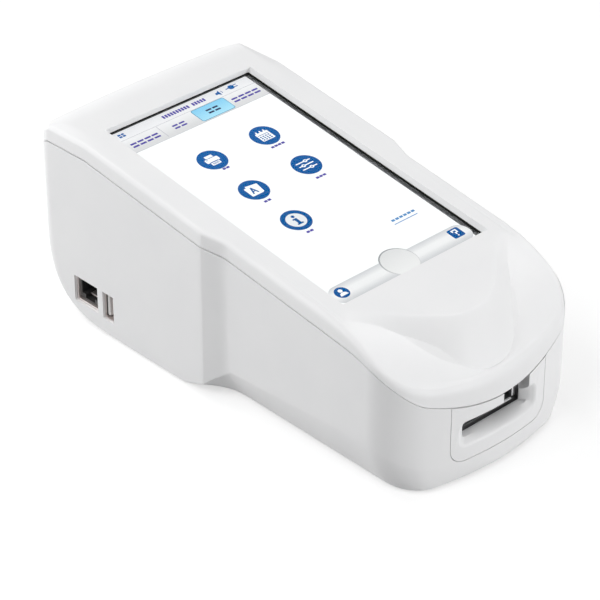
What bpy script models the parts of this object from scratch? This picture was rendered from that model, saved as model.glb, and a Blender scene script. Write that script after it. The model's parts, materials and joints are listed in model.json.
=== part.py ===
# Electrolyte analyzer: a bench-top case with a tilted touch screen and a cartridge port in its nose.
# Metres, +Z up, the port faces -Y. The origin is under the middle of the case, where its feet stand.

import math

import bmesh
import bpy
from mathutils import Matrix, Vector

# Case
BODY_LENGTH = 0.2422
REAR_WIDTH = 0.1210
NOSE_TAPER = 0.0035
BASE_REAR_TAPER = 0.0010
BASE_NOSE_TAPER = 0.0092
BASE_NOSE_SETBACK = 0.0013
WALL = 0.0024
GAP = 0.0003
SEAM_GAP = 0.0003
FOOT_PROUD = 0.0012
OVERRUN = 0.0030

# Screen window, set in from the nose, the rear and the sides, with its middle's height over the base
SCREEN_TILT = math.radians(8.0)
WINDOW_FROM_NOSE = 0.05376
WINDOW_FROM_REAR = 0.03396
WINDOW_FROM_SIDE = 0.0160
WINDOW_HEIGHT = 0.0860
BEZEL_THICKNESS = 0.0024

# Plan outline
NOSE_BULGE_RADIUS = 0.1500
NOSE_CORNER_RADIUS = 0.0224
BASE_CORNER_RADIUS = 0.0150
REAR_BULGE_RADIUS = 0.9000
REAR_CORNER_RADIUS = 0.0100
REAR_WALL_BULGE = 0.0006
WAIST_REAR_FROM_NOSE = 0.1330
WAIST_FRONT_FROM_NOSE = 0.1120
BASE_WAIST_REAR_FROM_NOSE = 0.1390
BASE_WAIST_FRONT_FROM_NOSE = 0.1100

# Top cover
SEAM_DEPTH = 0.0080
NOSE_ROLL = 0.0237
NOSE_ROLL_LENGTH = 0.0530
NOSE_SEAM_DROP = 0.0230
NOSE_SEAM_DROP_LENGTH = 0.0450
REAR_ROLL = 0.0105
REAR_ROLL_LENGTH = 0.0265
REAR_CROWN = 0.0019
EDGE_FILLET = 0.0024
REAR_EDGE_FILLET = 0.0046
BAND_DRAFT = 0.0004
TONGUE_FROM_NOSE = 0.0190
TONGUE_TIP_HALF_WIDTH = 0.0150
TONGUE_FLANK_INSET = 0.0280
TONGUE_FLANK_FROM_NOSE = 0.0350
TONGUE_ARM_INSET = 0.0100
TONGUE_ARM_FROM_NOSE = 0.0510
TONGUE_TIP_PULL = 0.0020
CREASE_FROM_NOSE = 0.0050
CREASE_TIP_HALF_WIDTH = 0.0240
CREASE_FLANK_INSET = 0.0260
CREASE_FLANK_FROM_NOSE = 0.0360
CREASE_ARM_INSET = 0.0050
CREASE_ARM_FROM_NOSE = 0.0460
CREASE_TIP_PULL = 0.0010
VALLEY_EASE_SHARE = 0.45
TONGUE_SHARE = 0.72
CREASE_SHARE = 0.42
INNER_CREASE_SHARE = 0.3

# Bottom shell
REAR_CURVE_LENGTH = 0.0477
REAR_KNEE_HEIGHT = 0.0480
REAR_BEND = 3.2
CHAMFER_HEIGHT = 0.0180
CHAMFER_BEND = 1.25
NOSE_KNEE_HEIGHT = 0.0120
CORNER_KNEE_HEIGHT = 0.0240
CORNER_BEND = 1.6
BASE_EDGE_HEIGHT = 0.0020
BASE_EDGE_BEND = 2.0
BASE_REAR_CORNER_RADIUS = 0.0120

# Cartridge port insert
INSERT_WIDTH = 0.0586
INSERT_HEIGHT = 0.0082
INSERT_CORNER_RADIUS = 0.0075
INSERT_DEPTH = 0.0092
SLOT_WIDTH = 0.0355
SLOT_SILL_HEIGHT = 0.0204
SLOT_OPENING = 0.0056
SLOT_SETBACK = 0.0068
SCOOP_WIDTH = 0.0470
SCOOP_TOP_HEIGHT = 0.0310
SCOOP_BOTTOM_HEIGHT = 0.0165
SCOOP_LIP = 0.0024
SCOOP_CORNER_RADIUS = 0.0028
NOTCH_LEFT = 0.0012
NOTCH_RIGHT = 0.0173

# Screen stack, under the window
PANEL_MARGIN = 0.0026
TOUCH_THICKNESS = 0.0016
LCD_THICKNESS = 0.0056
LCD_INSET = 0.0010
TRAY_THICKNESS = 0.0010
TRAY_EAR_WIDTH = 0.0070
TRAY_EAR_LENGTH = 0.0090
TRAY_BOSS_RADIUS = 0.0026
TRAY_BOSS_OUTSET = 0.0062
TRAY_BOSS_INSET = 0.0200
SCREW_HEAD_HEIGHT = 0.0016
SMALL_HEAD_RADIUS = 0.0022
SMALL_SHANK_RADIUS = 0.0010
SMALL_SHANK_LENGTH = 0.0050
SMALL_PILOT_RADIUS = 0.0013
HEAD_FLAT_SHARE = 0.8

# Case screws, feet and their seats
CASE_SCREW_REAR_INSET = 0.0080
CASE_SCREW_FROM_REAR = 0.1002
CASE_SCREW_FRONT_INSET = 0.0098
CASE_SCREW_FROM_NOSE = 0.0330
CASE_TUBE_RADIUS = 0.0042
CASE_TUBE_TOP_HEIGHT = 0.0500
CASE_HEAD_RADIUS = 0.0028
CASE_SHANK_RADIUS = 0.0015
CASE_PILOT_RADIUS = 0.0018
CASE_SCREW_GRIP = 0.0080
FOOT_RADIUS = 0.0060
FOOT_RECESS = 0.0010
FOOT_FRONT_INSET = 0.0108
FOOT_FROM_NOSE = 0.0190
FOOT_REAR_INSET = 0.0145
FOOT_FROM_REAR = 0.0762

# Main board and its jacks
BOARD_HEIGHT = 0.0227
BOARD_THICKNESS = 0.0016
BOARD_SIDE_CLEARANCE = 0.0095
BOARD_LENGTH = 0.0840
BOARD_FROM_REAR = 0.0082
BOARD_POST_RADIUS = 0.0030
BOARD_POST_INSET = 0.0060
ETHERNET_FROM_REAR = 0.0342
ETHERNET_WIDTH = 0.0160
ETHERNET_HEIGHT = 0.0132
ETHERNET_DEPTH = 0.0210
ETHERNET_RIM = 0.0010
USB_FROM_REAR = 0.0500
USB_WIDTH = 0.0070
USB_HEIGHT = 0.0140
USB_DEPTH = 0.0170
USB_RIM = 0.0006
USB_TONGUE = 0.0018
JACK_SETBACK = 0.0004
POWER_JACK_WIDTH = 0.0090
POWER_JACK_HEIGHT = 0.0110
POWER_JACK_DEPTH = 0.0120
POWER_JACK_BORE = 0.0031
POWER_JACK_PIN = 0.0010
BUTTON_RADIUS = 0.0055
BUTTON_FLANGE = 0.0010
BUTTON_TRAVEL = 0.0012
BUTTON_PROUD = 0.0010
BUTTON_BACKSET = 0.0012
BUTTON_HEIGHT = 0.0070
SWITCH_SIZE = 0.0070
SWITCH_DEPTH = 0.0045

# Battery and its door
BATTERY_SIDE_CLEARANCE = 0.0255
BATTERY_LENGTH = 0.0380
BATTERY_FROM_REAR = 0.0637
BATTERY_HEIGHT = 0.0175
DOOR_MARGIN = 0.0015
DOOR_THICKNESS = 0.0018
DOOR_LEDGE = 0.0020
DOOR_TAB = 0.0080

# Speaker
SPEAKER_FROM_NOSE = 0.0600
SPEAKER_RADIUS = 0.0100
SPEAKER_HEIGHT = 0.0048
SPEAKER_MAGNET_SHARE = 0.7
GRILLE_SHARE = 0.8
GRILLE_SLOT = 0.0012
GRILLE_PITCH = 0.0030
GRILLE_COUNT = 5

# Cartridge bay
CHASSIS_FRONT_FROM_NOSE = 0.0096
CHASSIS_LENGTH = 0.0860
CHASSIS_FLOOR = 0.0030
CHASSIS_WALL = 0.0032
CHASSIS_WALL_HEIGHT = 0.0068
CHASSIS_EAR = 0.0070
CHASSIS_EAR_LENGTH = 0.0100
CHASSIS_EAR_FROM_FRONT = 0.0140
CHASSIS_POST_RADIUS = 0.0030
BAY_SIDE_CLEARANCE = 0.0003
BAY_FLOOR_DROP = 0.0003
HEATER_WIDTH = 0.0260
HEATER_LENGTH = 0.0400
HEATER_THICKNESS = 0.0016
BRIDGE_FROM_NOSE = 0.0690
BRIDGE_LENGTH = 0.0280
BRIDGE_THICKNESS = 0.0024
BRIDGE_HEIGHT = 0.0240
MOTOR_RADIUS = 0.0090
MOTOR_HEIGHT = 0.0105
MOTOR_EAR = 0.0040
SCREW_RADIUS = 0.0018
NUT_RADIUS = 0.0040
ROD_RADIUS = 0.0015
ROD_SPACING = 0.0220
HEAD_WIDTH = 0.0300
HEAD_LENGTH = 0.0180
HEAD_THICKNESS = 0.0050
HEAD_REST_CLEARANCE = 0.0020
PLUNGER_RADIUS = 0.0030
PLUNGER_LENGTH = 0.0042
PLUNGER_SPACING = 0.0120
CONTACT_LENGTH = 0.0090
CONTACT_HEIGHT = 0.0070
CONTACT_OVERHANG = 0.0010
CONTACT_PIN_RADIUS = 0.0005
CONTACT_PIN_LENGTH = 0.0012
CONTACT_PIN_PITCH = 0.0025
CONTACT_PIN_COUNT = 10
READER_WIDTH = 0.0240
READER_LENGTH = 0.0140
READER_HEIGHT = 0.0090
READER_FROM_NOSE = 0.0370
READER_WINDOW = 0.0140

# Cartridge latch behind the notch
LATCH_X = 0.0160
LATCH_WIDTH = 0.0022
LATCH_THICKNESS = 0.0010
LATCH_PIVOT_HEIGHT = 0.0350
LATCH_PIVOT_SETBACK = 0.0117
LATCH_HUB_RADIUS = 0.0022
LATCH_PIN_RADIUS = 0.0009
LATCH_TIP_HEIGHT = 0.0240
LATCH_BRACKET_WALL = 0.0016

# Sampling of the moulded shells
NOSE_STEPS = 6
NOSE_CORNER_STEPS = 9
FRONT_SIDE_STEPS = 5
WAIST_STEPS = 6
REAR_SIDE_STEPS = 5
REAR_CORNER_STEPS = 6
REAR_STEPS = 4
VALLEY_STEPS = 3
BAND_STEPS = 3
CORNER_STEPS = 6

# Places that follow from the sizes above
NOSE_Y = -BODY_LENGTH / 2
REAR_Y = BODY_LENGTH / 2
BASE_Z = FOOT_PROUD
NOSE_WIDTH = REAR_WIDTH - 2 * NOSE_TAPER
BASE_REAR_WIDTH = REAR_WIDTH - 2 * BASE_REAR_TAPER
BASE_NOSE_WIDTH = NOSE_WIDTH - 2 * BASE_NOSE_TAPER
WINDOW_WIDTH = REAR_WIDTH - 2 * WINDOW_FROM_SIDE
WINDOW_REACH = (BODY_LENGTH - WINDOW_FROM_NOSE - WINDOW_FROM_REAR) / 2
WINDOW_LENGTH = 2 * WINDOW_REACH / math.cos(SCREEN_TILT)
WINDOW_Y = NOSE_Y + WINDOW_FROM_NOSE + WINDOW_REACH
WINDOW_Z = BASE_Z + WINDOW_HEIGHT
REAR_FLAT_Y = REAR_Y - REAR_CURVE_LENGTH
TRAY_BOSS_X = WINDOW_WIDTH / 2 + TRAY_BOSS_OUTSET
TRAY_BOSS_V = WINDOW_LENGTH / 2 - TRAY_BOSS_INSET
FLOOR_Z = BASE_Z + WALL
SLOT_Z = BASE_Z + SLOT_SILL_HEIGHT
SLOT_Y = NOSE_Y + SLOT_SETBACK
BAY_HALF_WIDTH = SLOT_WIDTH / 2 + BAY_SIDE_CLEARANCE
BAY_FLOOR_Z = SLOT_Z - BAY_FLOOR_DROP
BAY_WALL_TOP = BAY_FLOOR_Z + CHASSIS_WALL_HEIGHT
BOARD_Z = BASE_Z + BOARD_HEIGHT
BOARD_TOP = BOARD_Z + BOARD_THICKNESS
BOARD_WIDTH = REAR_WIDTH - 2 * BOARD_SIDE_CLEARANCE
BOARD_REAR = REAR_Y - BOARD_FROM_REAR
BOARD_FRONT = BOARD_REAR - BOARD_LENGTH
BOARD_POST_X = BOARD_WIDTH / 2 - BOARD_POST_INSET
BUTTON_X = BOARD_POST_X - BOARD_POST_INSET - SMALL_HEAD_RADIUS - GAP - BUTTON_RADIUS - BUTTON_FLANGE
POWER_JACK_X = -BUTTON_X
BATTERY_WIDTH = REAR_WIDTH - 2 * BATTERY_SIDE_CLEARANCE
CHASSIS_FRONT = NOSE_Y + CHASSIS_FRONT_FROM_NOSE
CHASSIS_REAR = CHASSIS_FRONT + CHASSIS_LENGTH
CHASSIS_HALF_WIDTH = BAY_HALF_WIDTH + CHASSIS_WALL
BRIDGE_Y = NOSE_Y + BRIDGE_FROM_NOSE
BRIDGE_TOP = BAY_WALL_TOP + GAP + BRIDGE_HEIGHT


def clear_scene():
    for old in list(bpy.data.objects):
        bpy.data.objects.remove(old)


def finish(name, colour, roughness, metallic=0.0):
    material = bpy.data.materials.new(name)
    material.use_nodes = True
    shader = material.node_tree.nodes["Principled BSDF"]
    shader.inputs["Base Color"].default_value = (*colour, 1.0)
    shader.inputs["Roughness"].default_value = roughness
    shader.inputs["Metallic"].default_value = metallic
    return material


def add_object(name, shape, material=None):
    """An object made from a bmesh. Without a material it is a helper that the render leaves out."""
    bmesh.ops.recalc_face_normals(shape, faces=shape.faces)
    mesh = bpy.data.meshes.new(name)
    shape.to_mesh(mesh)
    shape.free()
    made = bpy.data.objects.new(name, mesh)
    bpy.context.scene.collection.objects.link(made)
    if material:
        mesh.materials.append(material)
    else:
        made.hide_render = True
        made.display_type = "WIRE"
    return made


def combine(target, tool, operation):
    step = target.modifiers.new(f"{operation.lower()} {tool.name}", "BOOLEAN")
    step.operation = operation
    step.object = tool
    step.solver = "EXACT"


def cut(target, *tools):
    for tool in tools:
        combine(target, tool, "DIFFERENCE")


def join(target, *tools):
    for tool in tools:
        combine(target, tool, "UNION")


def block(name, low, high, material=None, edge=0.0, upright_only=False):
    """A block between two corners, with its edges rounded where edge is given."""
    shape = bmesh.new()
    bmesh.ops.create_cube(shape, size=1.0)
    low, high = Vector(low), Vector(high)
    for vert in shape.verts:
        vert.co = Vector(low[i] if vert.co[i] < 0 else high[i] for i in range(3))
    if edge:
        edges = list(shape.edges)
        if upright_only:
            edges = [e for e in edges if e.verts[0].co.xy == e.verts[1].co.xy]
        bmesh.ops.bevel(shape, geom=edges, offset=edge, segments=2, profile=0.5, affect="EDGES")
    return add_object(name, shape, material)


def rod(name, radius, start, end, material=None, sides=20):
    """A round bar from start to end."""
    start, end = Vector(start), Vector(end)
    shape = bmesh.new()
    bmesh.ops.create_cone(
        shape, cap_ends=True, segments=sides, radius1=radius, radius2=radius, depth=(end - start).length
    )
    turn = (end - start).to_track_quat("Z", "Y").to_matrix().to_4x4()
    place = Matrix.Translation((start + end) / 2) @ turn
    bmesh.ops.transform(shape, matrix=place, verts=shape.verts)
    made = add_object(name, shape, material)
    made.data.shade_smooth()
    made.data.set_sharp_from_angle(angle=math.radians(40))
    return made


def turned(name, profile, place, axis="Z", material=None, sides=24):
    """A turned piece: profile holds (radius, height) pairs, closed on its axis."""
    shape = bmesh.new()
    rings = []
    for radius, height in profile:
        if radius:
            ring = [
                shape.verts.new((radius * math.cos(a), radius * math.sin(a), height))
                for a in (2 * math.pi * i / sides for i in range(sides))
            ]
        else:
            ring = [shape.verts.new((0, 0, height))] * sides
        rings.append(ring)
    for lower, upper in zip(rings[:-1], rings[1:]):
        for i in range(sides):
            j = (i + 1) % sides
            corners = list(dict.fromkeys((lower[i], lower[j], upper[j], upper[i])))
            if len(corners) > 2:
                shape.faces.new(corners)
    turn = Vector({"X": (1, 0, 0), "Y": (0, 1, 0), "Z": (0, 0, 1)}[axis]).to_track_quat("Z", "Y")
    bmesh.ops.transform(
        shape, matrix=Matrix.Translation(place) @ turn.to_matrix().to_4x4(), verts=shape.verts
    )
    made = add_object(name, shape, material)
    made.data.shade_smooth()
    made.data.set_sharp_from_angle(angle=math.radians(40))
    return made


def loft(name, rings, material=None, ends="caps"):
    """A closed skin over rings of equal count: ends are flat caps, or the last ring joins the first."""
    shape = bmesh.new()
    verts = [[shape.verts.new(point) for point in ring] for ring in rings]
    pairs = list(zip(verts[:-1], verts[1:]))
    if ends == "ring":
        pairs.append((verts[-1], verts[0]))
    for inner, outer in pairs:
        for i in range(len(inner)):
            j = (i + 1) % len(inner)
            shape.faces.new((inner[i], inner[j], outer[j], outer[i]))
    if ends == "caps":
        shape.faces.new(verts[0])
        shape.faces.new(verts[-1])
    bmesh.ops.triangulate(shape, faces=[f for f in shape.faces if len(f.verts) == 4])
    made = add_object(name, shape, material)
    made.data.shade_smooth()
    made.data.set_sharp_from_angle(angle=math.radians(32))
    return made


def set_origin(piece, place):
    """Moves a piece's origin to its joint, and leaves its shape where it is."""
    piece.data.transform(Matrix.Translation(-Vector(place)))
    piece.location = place


def mix(a, b, share):
    return a + (b - a) * share


def ease(share):
    return share * share * (3 - 2 * share)


# The case's form, worked out column by column round its plan


def corner_arc(half_width, end_reach, bulge, corner, steps, corner_steps):
    """One quarter of a plan: a shallow end arc blended into a straight side by a corner arc.

    Points run from the middle of the end to the side, as (x, distance in from the end).
    """
    corner_x = half_width - corner
    centre_in = bulge - math.sqrt((bulge - corner) ** 2 - corner_x**2)
    start = math.atan2(corner_x, bulge - centre_in)
    points = []
    for i in range(steps):
        angle = start * i / steps
        points.append((bulge * math.sin(angle), bulge * (1 - math.cos(angle))))
    for i in range(corner_steps + 1):
        angle = mix(start, math.pi / 2, i / corner_steps)
        points.append((corner_x + corner * math.sin(angle), centre_in - corner * math.cos(angle)))
    return [(x, y + end_reach) for x, y in points]


def half_plan(front_half, rear_half, nose_y, rear_y, corners, waist, inset):
    """The +X half of a plan outline, from the middle of the nose to the middle of the rear."""
    nose_corner, rear_corner = corners
    waist_front, waist_rear = waist
    nose = corner_arc(
        front_half - inset, inset, NOSE_BULGE_RADIUS - inset, nose_corner - inset,
        NOSE_STEPS, NOSE_CORNER_STEPS,
    )
    rear = corner_arc(
        rear_half - inset, inset, REAR_BULGE_RADIUS - inset, rear_corner - inset,
        REAR_STEPS, REAR_CORNER_STEPS,
    )
    points = [(x, nose_y + y) for x, y in nose]
    side_x, side_y = points[-1]
    for i in range(1, FRONT_SIDE_STEPS):
        points.append((side_x, mix(side_y, waist_front, i / FRONT_SIDE_STEPS)))
    for i in range(WAIST_STEPS + 1):
        share = i / WAIST_STEPS
        half = mix(front_half, rear_half, ease(share))
        points.append((half - inset, mix(waist_front, waist_rear, share)))
    rear_points = [(x, rear_y - y) for x, y in rear][::-1]
    for i in range(1, REAR_SIDE_STEPS):
        points.append((rear_half - inset, mix(waist_rear, rear_points[0][1], i / REAR_SIDE_STEPS)))
    return points + rear_points


def seam_plan(inset=0.0):
    return half_plan(
        NOSE_WIDTH / 2, REAR_WIDTH / 2, NOSE_Y, REAR_Y, (NOSE_CORNER_RADIUS, REAR_CORNER_RADIUS),
        (NOSE_Y + WAIST_FRONT_FROM_NOSE, NOSE_Y + WAIST_REAR_FROM_NOSE), inset,
    )


def base_plan(inset=0.0):
    return half_plan(
        BASE_NOSE_WIDTH / 2, BASE_REAR_WIDTH / 2, NOSE_Y + BASE_NOSE_SETBACK, REAR_FLAT_Y,
        (BASE_CORNER_RADIUS, BASE_REAR_CORNER_RADIUS),
        (NOSE_Y + BASE_WAIST_FRONT_FROM_NOSE, NOSE_Y + BASE_WAIST_REAR_FROM_NOSE), inset,
    )


def running_total(counts):
    total = [0]
    for count in counts:
        total.append(total[-1] + count)
    return total


STATIONS = running_total((
    NOSE_STEPS, NOSE_CORNER_STEPS, FRONT_SIDE_STEPS, WAIST_STEPS,
    REAR_SIDE_STEPS, REAR_CORNER_STEPS, REAR_STEPS,
))

# At each station: where the wall starts to turn under, how square the turn is, and the top edge's fillet
KNEES = (
    BASE_EDGE_HEIGHT, NOSE_KNEE_HEIGHT, CORNER_KNEE_HEIGHT, CHAMFER_HEIGHT, BASE_EDGE_HEIGHT,
    REAR_KNEE_HEIGHT, REAR_KNEE_HEIGHT, REAR_KNEE_HEIGHT,
)
BENDS = (
    BASE_EDGE_BEND, CHAMFER_BEND, CORNER_BEND, CHAMFER_BEND, BASE_EDGE_BEND, REAR_BEND, REAR_BEND, REAR_BEND,
)
FILLETS = (*[EDGE_FILLET] * 6, REAR_EDGE_FILLET, REAR_EDGE_FILLET)


def along_stations(values, column):
    """A value given at the plan's stations, read at a column between them."""
    for i in range(len(STATIONS) - 1):
        if column <= STATIONS[i + 1]:
            share = (column - STATIONS[i]) / (STATIONS[i + 1] - STATIONS[i])
            return mix(values[i], values[i + 1], share)
    return values[-1]


def mirrored(half):
    """A whole ring from its +X half: the two middle points stay single."""
    return half + [(-point[0], *point[1:]) for point in half[-2:0:-1]]


def screen_plane(y):
    return WINDOW_Z + (y - WINDOW_Y) * math.tan(SCREEN_TILT)


def rear_fall(x, y):
    """The roll down to the rear edge, a little deeper towards the corners."""
    into = max(0.0, y - (REAR_Y - REAR_ROLL_LENGTH)) / REAR_ROLL_LENGTH
    return (REAR_ROLL + REAR_CROWN * (2 * x / REAR_WIDTH) ** 2) * into**2


def nose_roll(y):
    into = max(0.0, NOSE_Y + NOSE_ROLL_LENGTH - y) / NOSE_ROLL_LENGTH
    return NOSE_ROLL * into**2


def top_height(x, y):
    return screen_plane(y) - nose_roll(y) - rear_fall(x, y)


def seam_height(x, y):
    into = max(0.0, NOSE_Y + NOSE_SEAM_DROP_LENGTH - y) / NOSE_SEAM_DROP_LENGTH
    return screen_plane(y) - SEAM_DEPTH - NOSE_SEAM_DROP * into**3 - rear_fall(x, y)


def bezier(points, share):
    """A point on a cubic curve given by its four control points."""
    a, b, c, d = points
    rest = 1 - share
    weights = (rest**3, 3 * rest**2 * share, 3 * rest * share**2, share**3)
    return tuple(sum(w * p[i] for w, p in zip(weights, (a, b, c, d))) for i in range(2))


def nose_curves():
    """Half of the tongue's edge and half of the crease round it, as control points."""
    tongue = (
        (0, NOSE_Y + TONGUE_FROM_NOSE),
        (TONGUE_TIP_HALF_WIDTH, NOSE_Y + TONGUE_FROM_NOSE - TONGUE_TIP_PULL),
        (NOSE_WIDTH / 2 - TONGUE_FLANK_INSET, NOSE_Y + TONGUE_FLANK_FROM_NOSE),
        (NOSE_WIDTH / 2 - TONGUE_ARM_INSET, NOSE_Y + TONGUE_ARM_FROM_NOSE),
    )
    crease = (
        (0, NOSE_Y + CREASE_FROM_NOSE),
        (CREASE_TIP_HALF_WIDTH, NOSE_Y + CREASE_FROM_NOSE - CREASE_TIP_PULL),
        (NOSE_WIDTH / 2 - CREASE_FLANK_INSET, NOSE_Y + CREASE_FLANK_FROM_NOSE),
        (NOSE_WIDTH / 2 - CREASE_ARM_INSET, NOSE_Y + CREASE_ARM_FROM_NOSE),
    )
    return tongue, crease


def top_columns():
    """For each column of the half plan: its window, tongue, crease and outline points."""
    outline = seam_plan()
    tongue_curve, crease_curve = nose_curves()
    arm = STATIONS[2] + 1
    window_x = WINDOW_WIDTH / 2
    columns = []
    for i, (x, y) in enumerate(outline):
        if i <= arm:
            tongue, crease = bezier(tongue_curve, i / arm), bezier(crease_curve, i / arm)
        else:
            v = y - WINDOW_Y
            scale = min(window_x / max(x, GAP), WINDOW_REACH / max(abs(v), GAP))
            rim = Vector((x * scale, WINDOW_Y + v * scale))
            edge = Vector((x, y))
            tongue, crease = edge.lerp(rim, TONGUE_SHARE), edge.lerp(rim, CREASE_SHARE)
        columns.append((tuple(tongue), tuple(crease), (x, y)))
    return columns


def window_points(columns):
    """The window's edge point for each column, with its corners hit exactly."""
    window_x = WINDOW_WIDTH / 2
    points = []
    for tongue, _, _ in columns:
        x, v = tongue[0], tongue[1] - WINDOW_Y
        scale = min(window_x / max(abs(x), GAP), WINDOW_REACH / max(abs(v), GAP))
        points.append((x * scale, v * scale))
    for corner in ((window_x, -WINDOW_REACH), (window_x, WINDOW_REACH)):
        nearest = min(range(len(points)), key=lambda i: math.dist(points[i], corner))
        points[nearest] = corner
    return [(x, WINDOW_Y + v) for x, v in points]


def top_cover(material):
    columns = top_columns()
    window = window_points(columns)
    outline_in = seam_plan(WALL)
    lines = []
    for i, (tongue, crease, edge) in enumerate(columns):
        inner_edge = outline_in[i]
        inward = Vector((inner_edge[0] - edge[0], inner_edge[1] - edge[1])) / WALL
        fillet = along_stations(FILLETS, i)

        def inset(amount):
            return edge[0] + inward.x * amount, edge[1] + inward.y * amount

        seam = seam_height(*edge) + SEAM_GAP / 2
        wall_top = top_height(*edge) - fillet
        column = [(*window[i], screen_plane(window[i][1]))]
        column.append((*tongue, screen_plane(tongue[1]) - rear_fall(*tongue)))
        crease_drop = nose_roll(crease[1])
        for k in range(1, VALLEY_STEPS + 1):
            share = k / (VALLEY_STEPS + 1)
            x, y = mix(tongue[0], crease[0], share), mix(tongue[1], crease[1], share)
            drop = crease_drop * (VALLEY_EASE_SHARE * share + (1 - VALLEY_EASE_SHARE) * share**2)
            column.append((x, y, screen_plane(y) - drop - rear_fall(x, y)))
        column.append((*crease, top_height(*crease)))
        fillet_start = inset(BAND_DRAFT + fillet)
        for k in range(1, BAND_STEPS):
            share = k / BAND_STEPS
            x, y = mix(crease[0], fillet_start[0], share), mix(crease[1], fillet_start[1], share)
            column.append((x, y, top_height(x, y)))
        for angle in (90, 60, 30, 0):
            turn = math.radians(angle)
            x, y = inset(BAND_DRAFT + fillet * (1 - math.cos(turn)))
            column.append((x, y, mix(wall_top, top_height(*fillet_start), math.sin(turn))))
        column.append((*edge, seam))
        column.append((*inner_edge, seam))
        column.append((*inset(WALL + BAND_DRAFT), (seam + wall_top) / 2))
        shoulder = inset(2 * WALL)
        inner_crease = tuple(mix(crease[k], shoulder[k], INNER_CREASE_SHARE) for k in range(2))
        column.append((*shoulder, top_height(*shoulder) - fillet))
        column.append((*inner_crease, top_height(*inner_crease) - WALL))
        column.append((*tongue, screen_plane(tongue[1]) - rear_fall(*tongue) - BEZEL_THICKNESS))
        column.append((*window[i], screen_plane(window[i][1]) - BEZEL_THICKNESS))
        lines.append(column)
    return loft("top_cover", [mirrored(list(ring)) for ring in zip(*lines)], material, ends="ring")


def shell_rings(inset, floor, top_gap):
    """The bottom shell's skin as rings from the seam down: inset and floor give its inner side."""
    top, base = seam_plan(inset), base_plan(inset)
    outer = seam_plan()
    base_z = BASE_Z + floor
    down_shares = (0.0, 0.18, 0.36, 0.54, 0.70, 0.83, 0.93, 0.985, 1.0)
    rings = [[] for _ in range(len(down_shares) + 1)]
    for i, (x, y) in enumerate(top):
        knee_z = base_z + along_stations(KNEES, i)
        bend = along_stations(BENDS, i)
        seam = seam_height(*outer[i]) - top_gap
        rings[0].append((x, y, seam))
        for k, share in enumerate(down_shares):
            run = 1 - (1 - share**bend) ** (1 / bend)
            under = (mix(x, base[i][0], run), mix(y, base[i][1], run), mix(knee_z, base_z, share))
            rings[k + 1].append(under)
    return [mirrored(ring) for ring in rings]


def bottom_shell(material):
    outside = shell_rings(0.0, 0.0, SEAM_GAP / 2)
    inside = shell_rings(WALL, WALL, SEAM_GAP / 2)
    return loft("bottom_shell", outside[::-1] + inside, material)


def body_form(top_gap):
    """The case's outer form below the seam as one solid, which gives the port insert its face."""
    rings = shell_rings(0.0, 0.0, top_gap)
    inner = seam_plan(INSERT_DEPTH + OVERRUN)
    ledge = mirrored([(x, y, seam_height(*edge) - top_gap) for (x, y), edge in zip(inner, seam_plan())])
    low = [(x / 2, y / 2, BASE_Z + SCOOP_TOP_HEIGHT) for x, y, _ in ledge]
    return loft("port form", [low, ledge] + rings)


def upright_rounded(name, half_width, low, high, radius, front, rear, material=None):
    """A block along Y whose lower corners, seen from the front, are rounded."""
    profile = [(half_width, high)]
    for i in range(CORNER_STEPS + 1):
        angle = math.pi / 2 * i / CORNER_STEPS
        x = half_width - radius * (1 - math.cos(angle))
        profile.append((x, low + radius * (1 - math.sin(angle))))
    profile = profile + [(-x, z) for x, z in profile[::-1]]
    rings = [[(x, y, z) for x, z in profile] for y in (front, rear)]
    return loft(name, rings, material)


def rounded_rectangle(half_width, low, high, radius, steps=4):
    """Points round a rectangle in X and Z with round corners."""
    corners = (
        (half_width - radius, low + radius, -90), (half_width - radius, high - radius, 0),
        (radius - half_width, high - radius, 90), (radius - half_width, low + radius, 180),
    )
    points = []
    for centre_x, centre_z, start in corners:
        for i in range(steps + 1):
            angle = math.radians(start + 90 * i / steps)
            points.append((centre_x + radius * math.cos(angle), centre_z + radius * math.sin(angle)))
    return points


def port_insert(material):
    """The panel round the cartridge slot, its outer face cut from the case's own form."""
    front, rear = NOSE_Y - OVERRUN, NOSE_Y + INSERT_DEPTH
    low = BASE_Z + INSERT_HEIGHT
    insert = upright_rounded(
        "port_insert", INSERT_WIDTH / 2, low, BASE_Z + WINDOW_HEIGHT, INSERT_CORNER_RADIUS,
        front, rear, material,
    )
    combine(insert, body_form(SEAM_GAP), "INTERSECT")
    scoop_front = rounded_rectangle(
        SCOOP_WIDTH / 2, BASE_Z + SCOOP_BOTTOM_HEIGHT, BASE_Z + SCOOP_TOP_HEIGHT, SCOOP_CORNER_RADIUS
    )
    scoop_rear = rounded_rectangle(
        SLOT_WIDTH / 2, SLOT_Z - SCOOP_LIP, SLOT_Z + SLOT_OPENING, SCOOP_LIP / 2
    )
    scoop = loft(
        "scoop tool",
        [[(x, NOSE_Y - GAP, z) for x, z in scoop_front], [(x, SLOT_Y, z) for x, z in scoop_rear]],
    )
    slot = block(
        "slot tool",
        (-SLOT_WIDTH / 2, NOSE_Y - OVERRUN, SLOT_Z),
        (SLOT_WIDTH / 2, rear + OVERRUN, SLOT_Z + SLOT_OPENING),
    )
    notch = block(
        "notch tool",
        (NOTCH_LEFT, NOSE_Y - OVERRUN, SLOT_Z + SLOT_OPENING / 2),
        (NOTCH_RIGHT, rear + OVERRUN, BASE_Z + WINDOW_HEIGHT + OVERRUN),
    )
    cut(insert, scoop, slot, notch)
    return insert


def cut_port_opening(shell):
    tool = upright_rounded(
        "port opening tool", INSERT_WIDTH / 2 + GAP, BASE_Z + INSERT_HEIGHT - GAP, BASE_Z + WINDOW_HEIGHT,
        INSERT_CORNER_RADIUS + GAP, NOSE_Y - OVERRUN, NOSE_Y + INSERT_DEPTH + GAP,
    )
    cut(shell, tool)


# Screws, feet and posts


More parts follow.
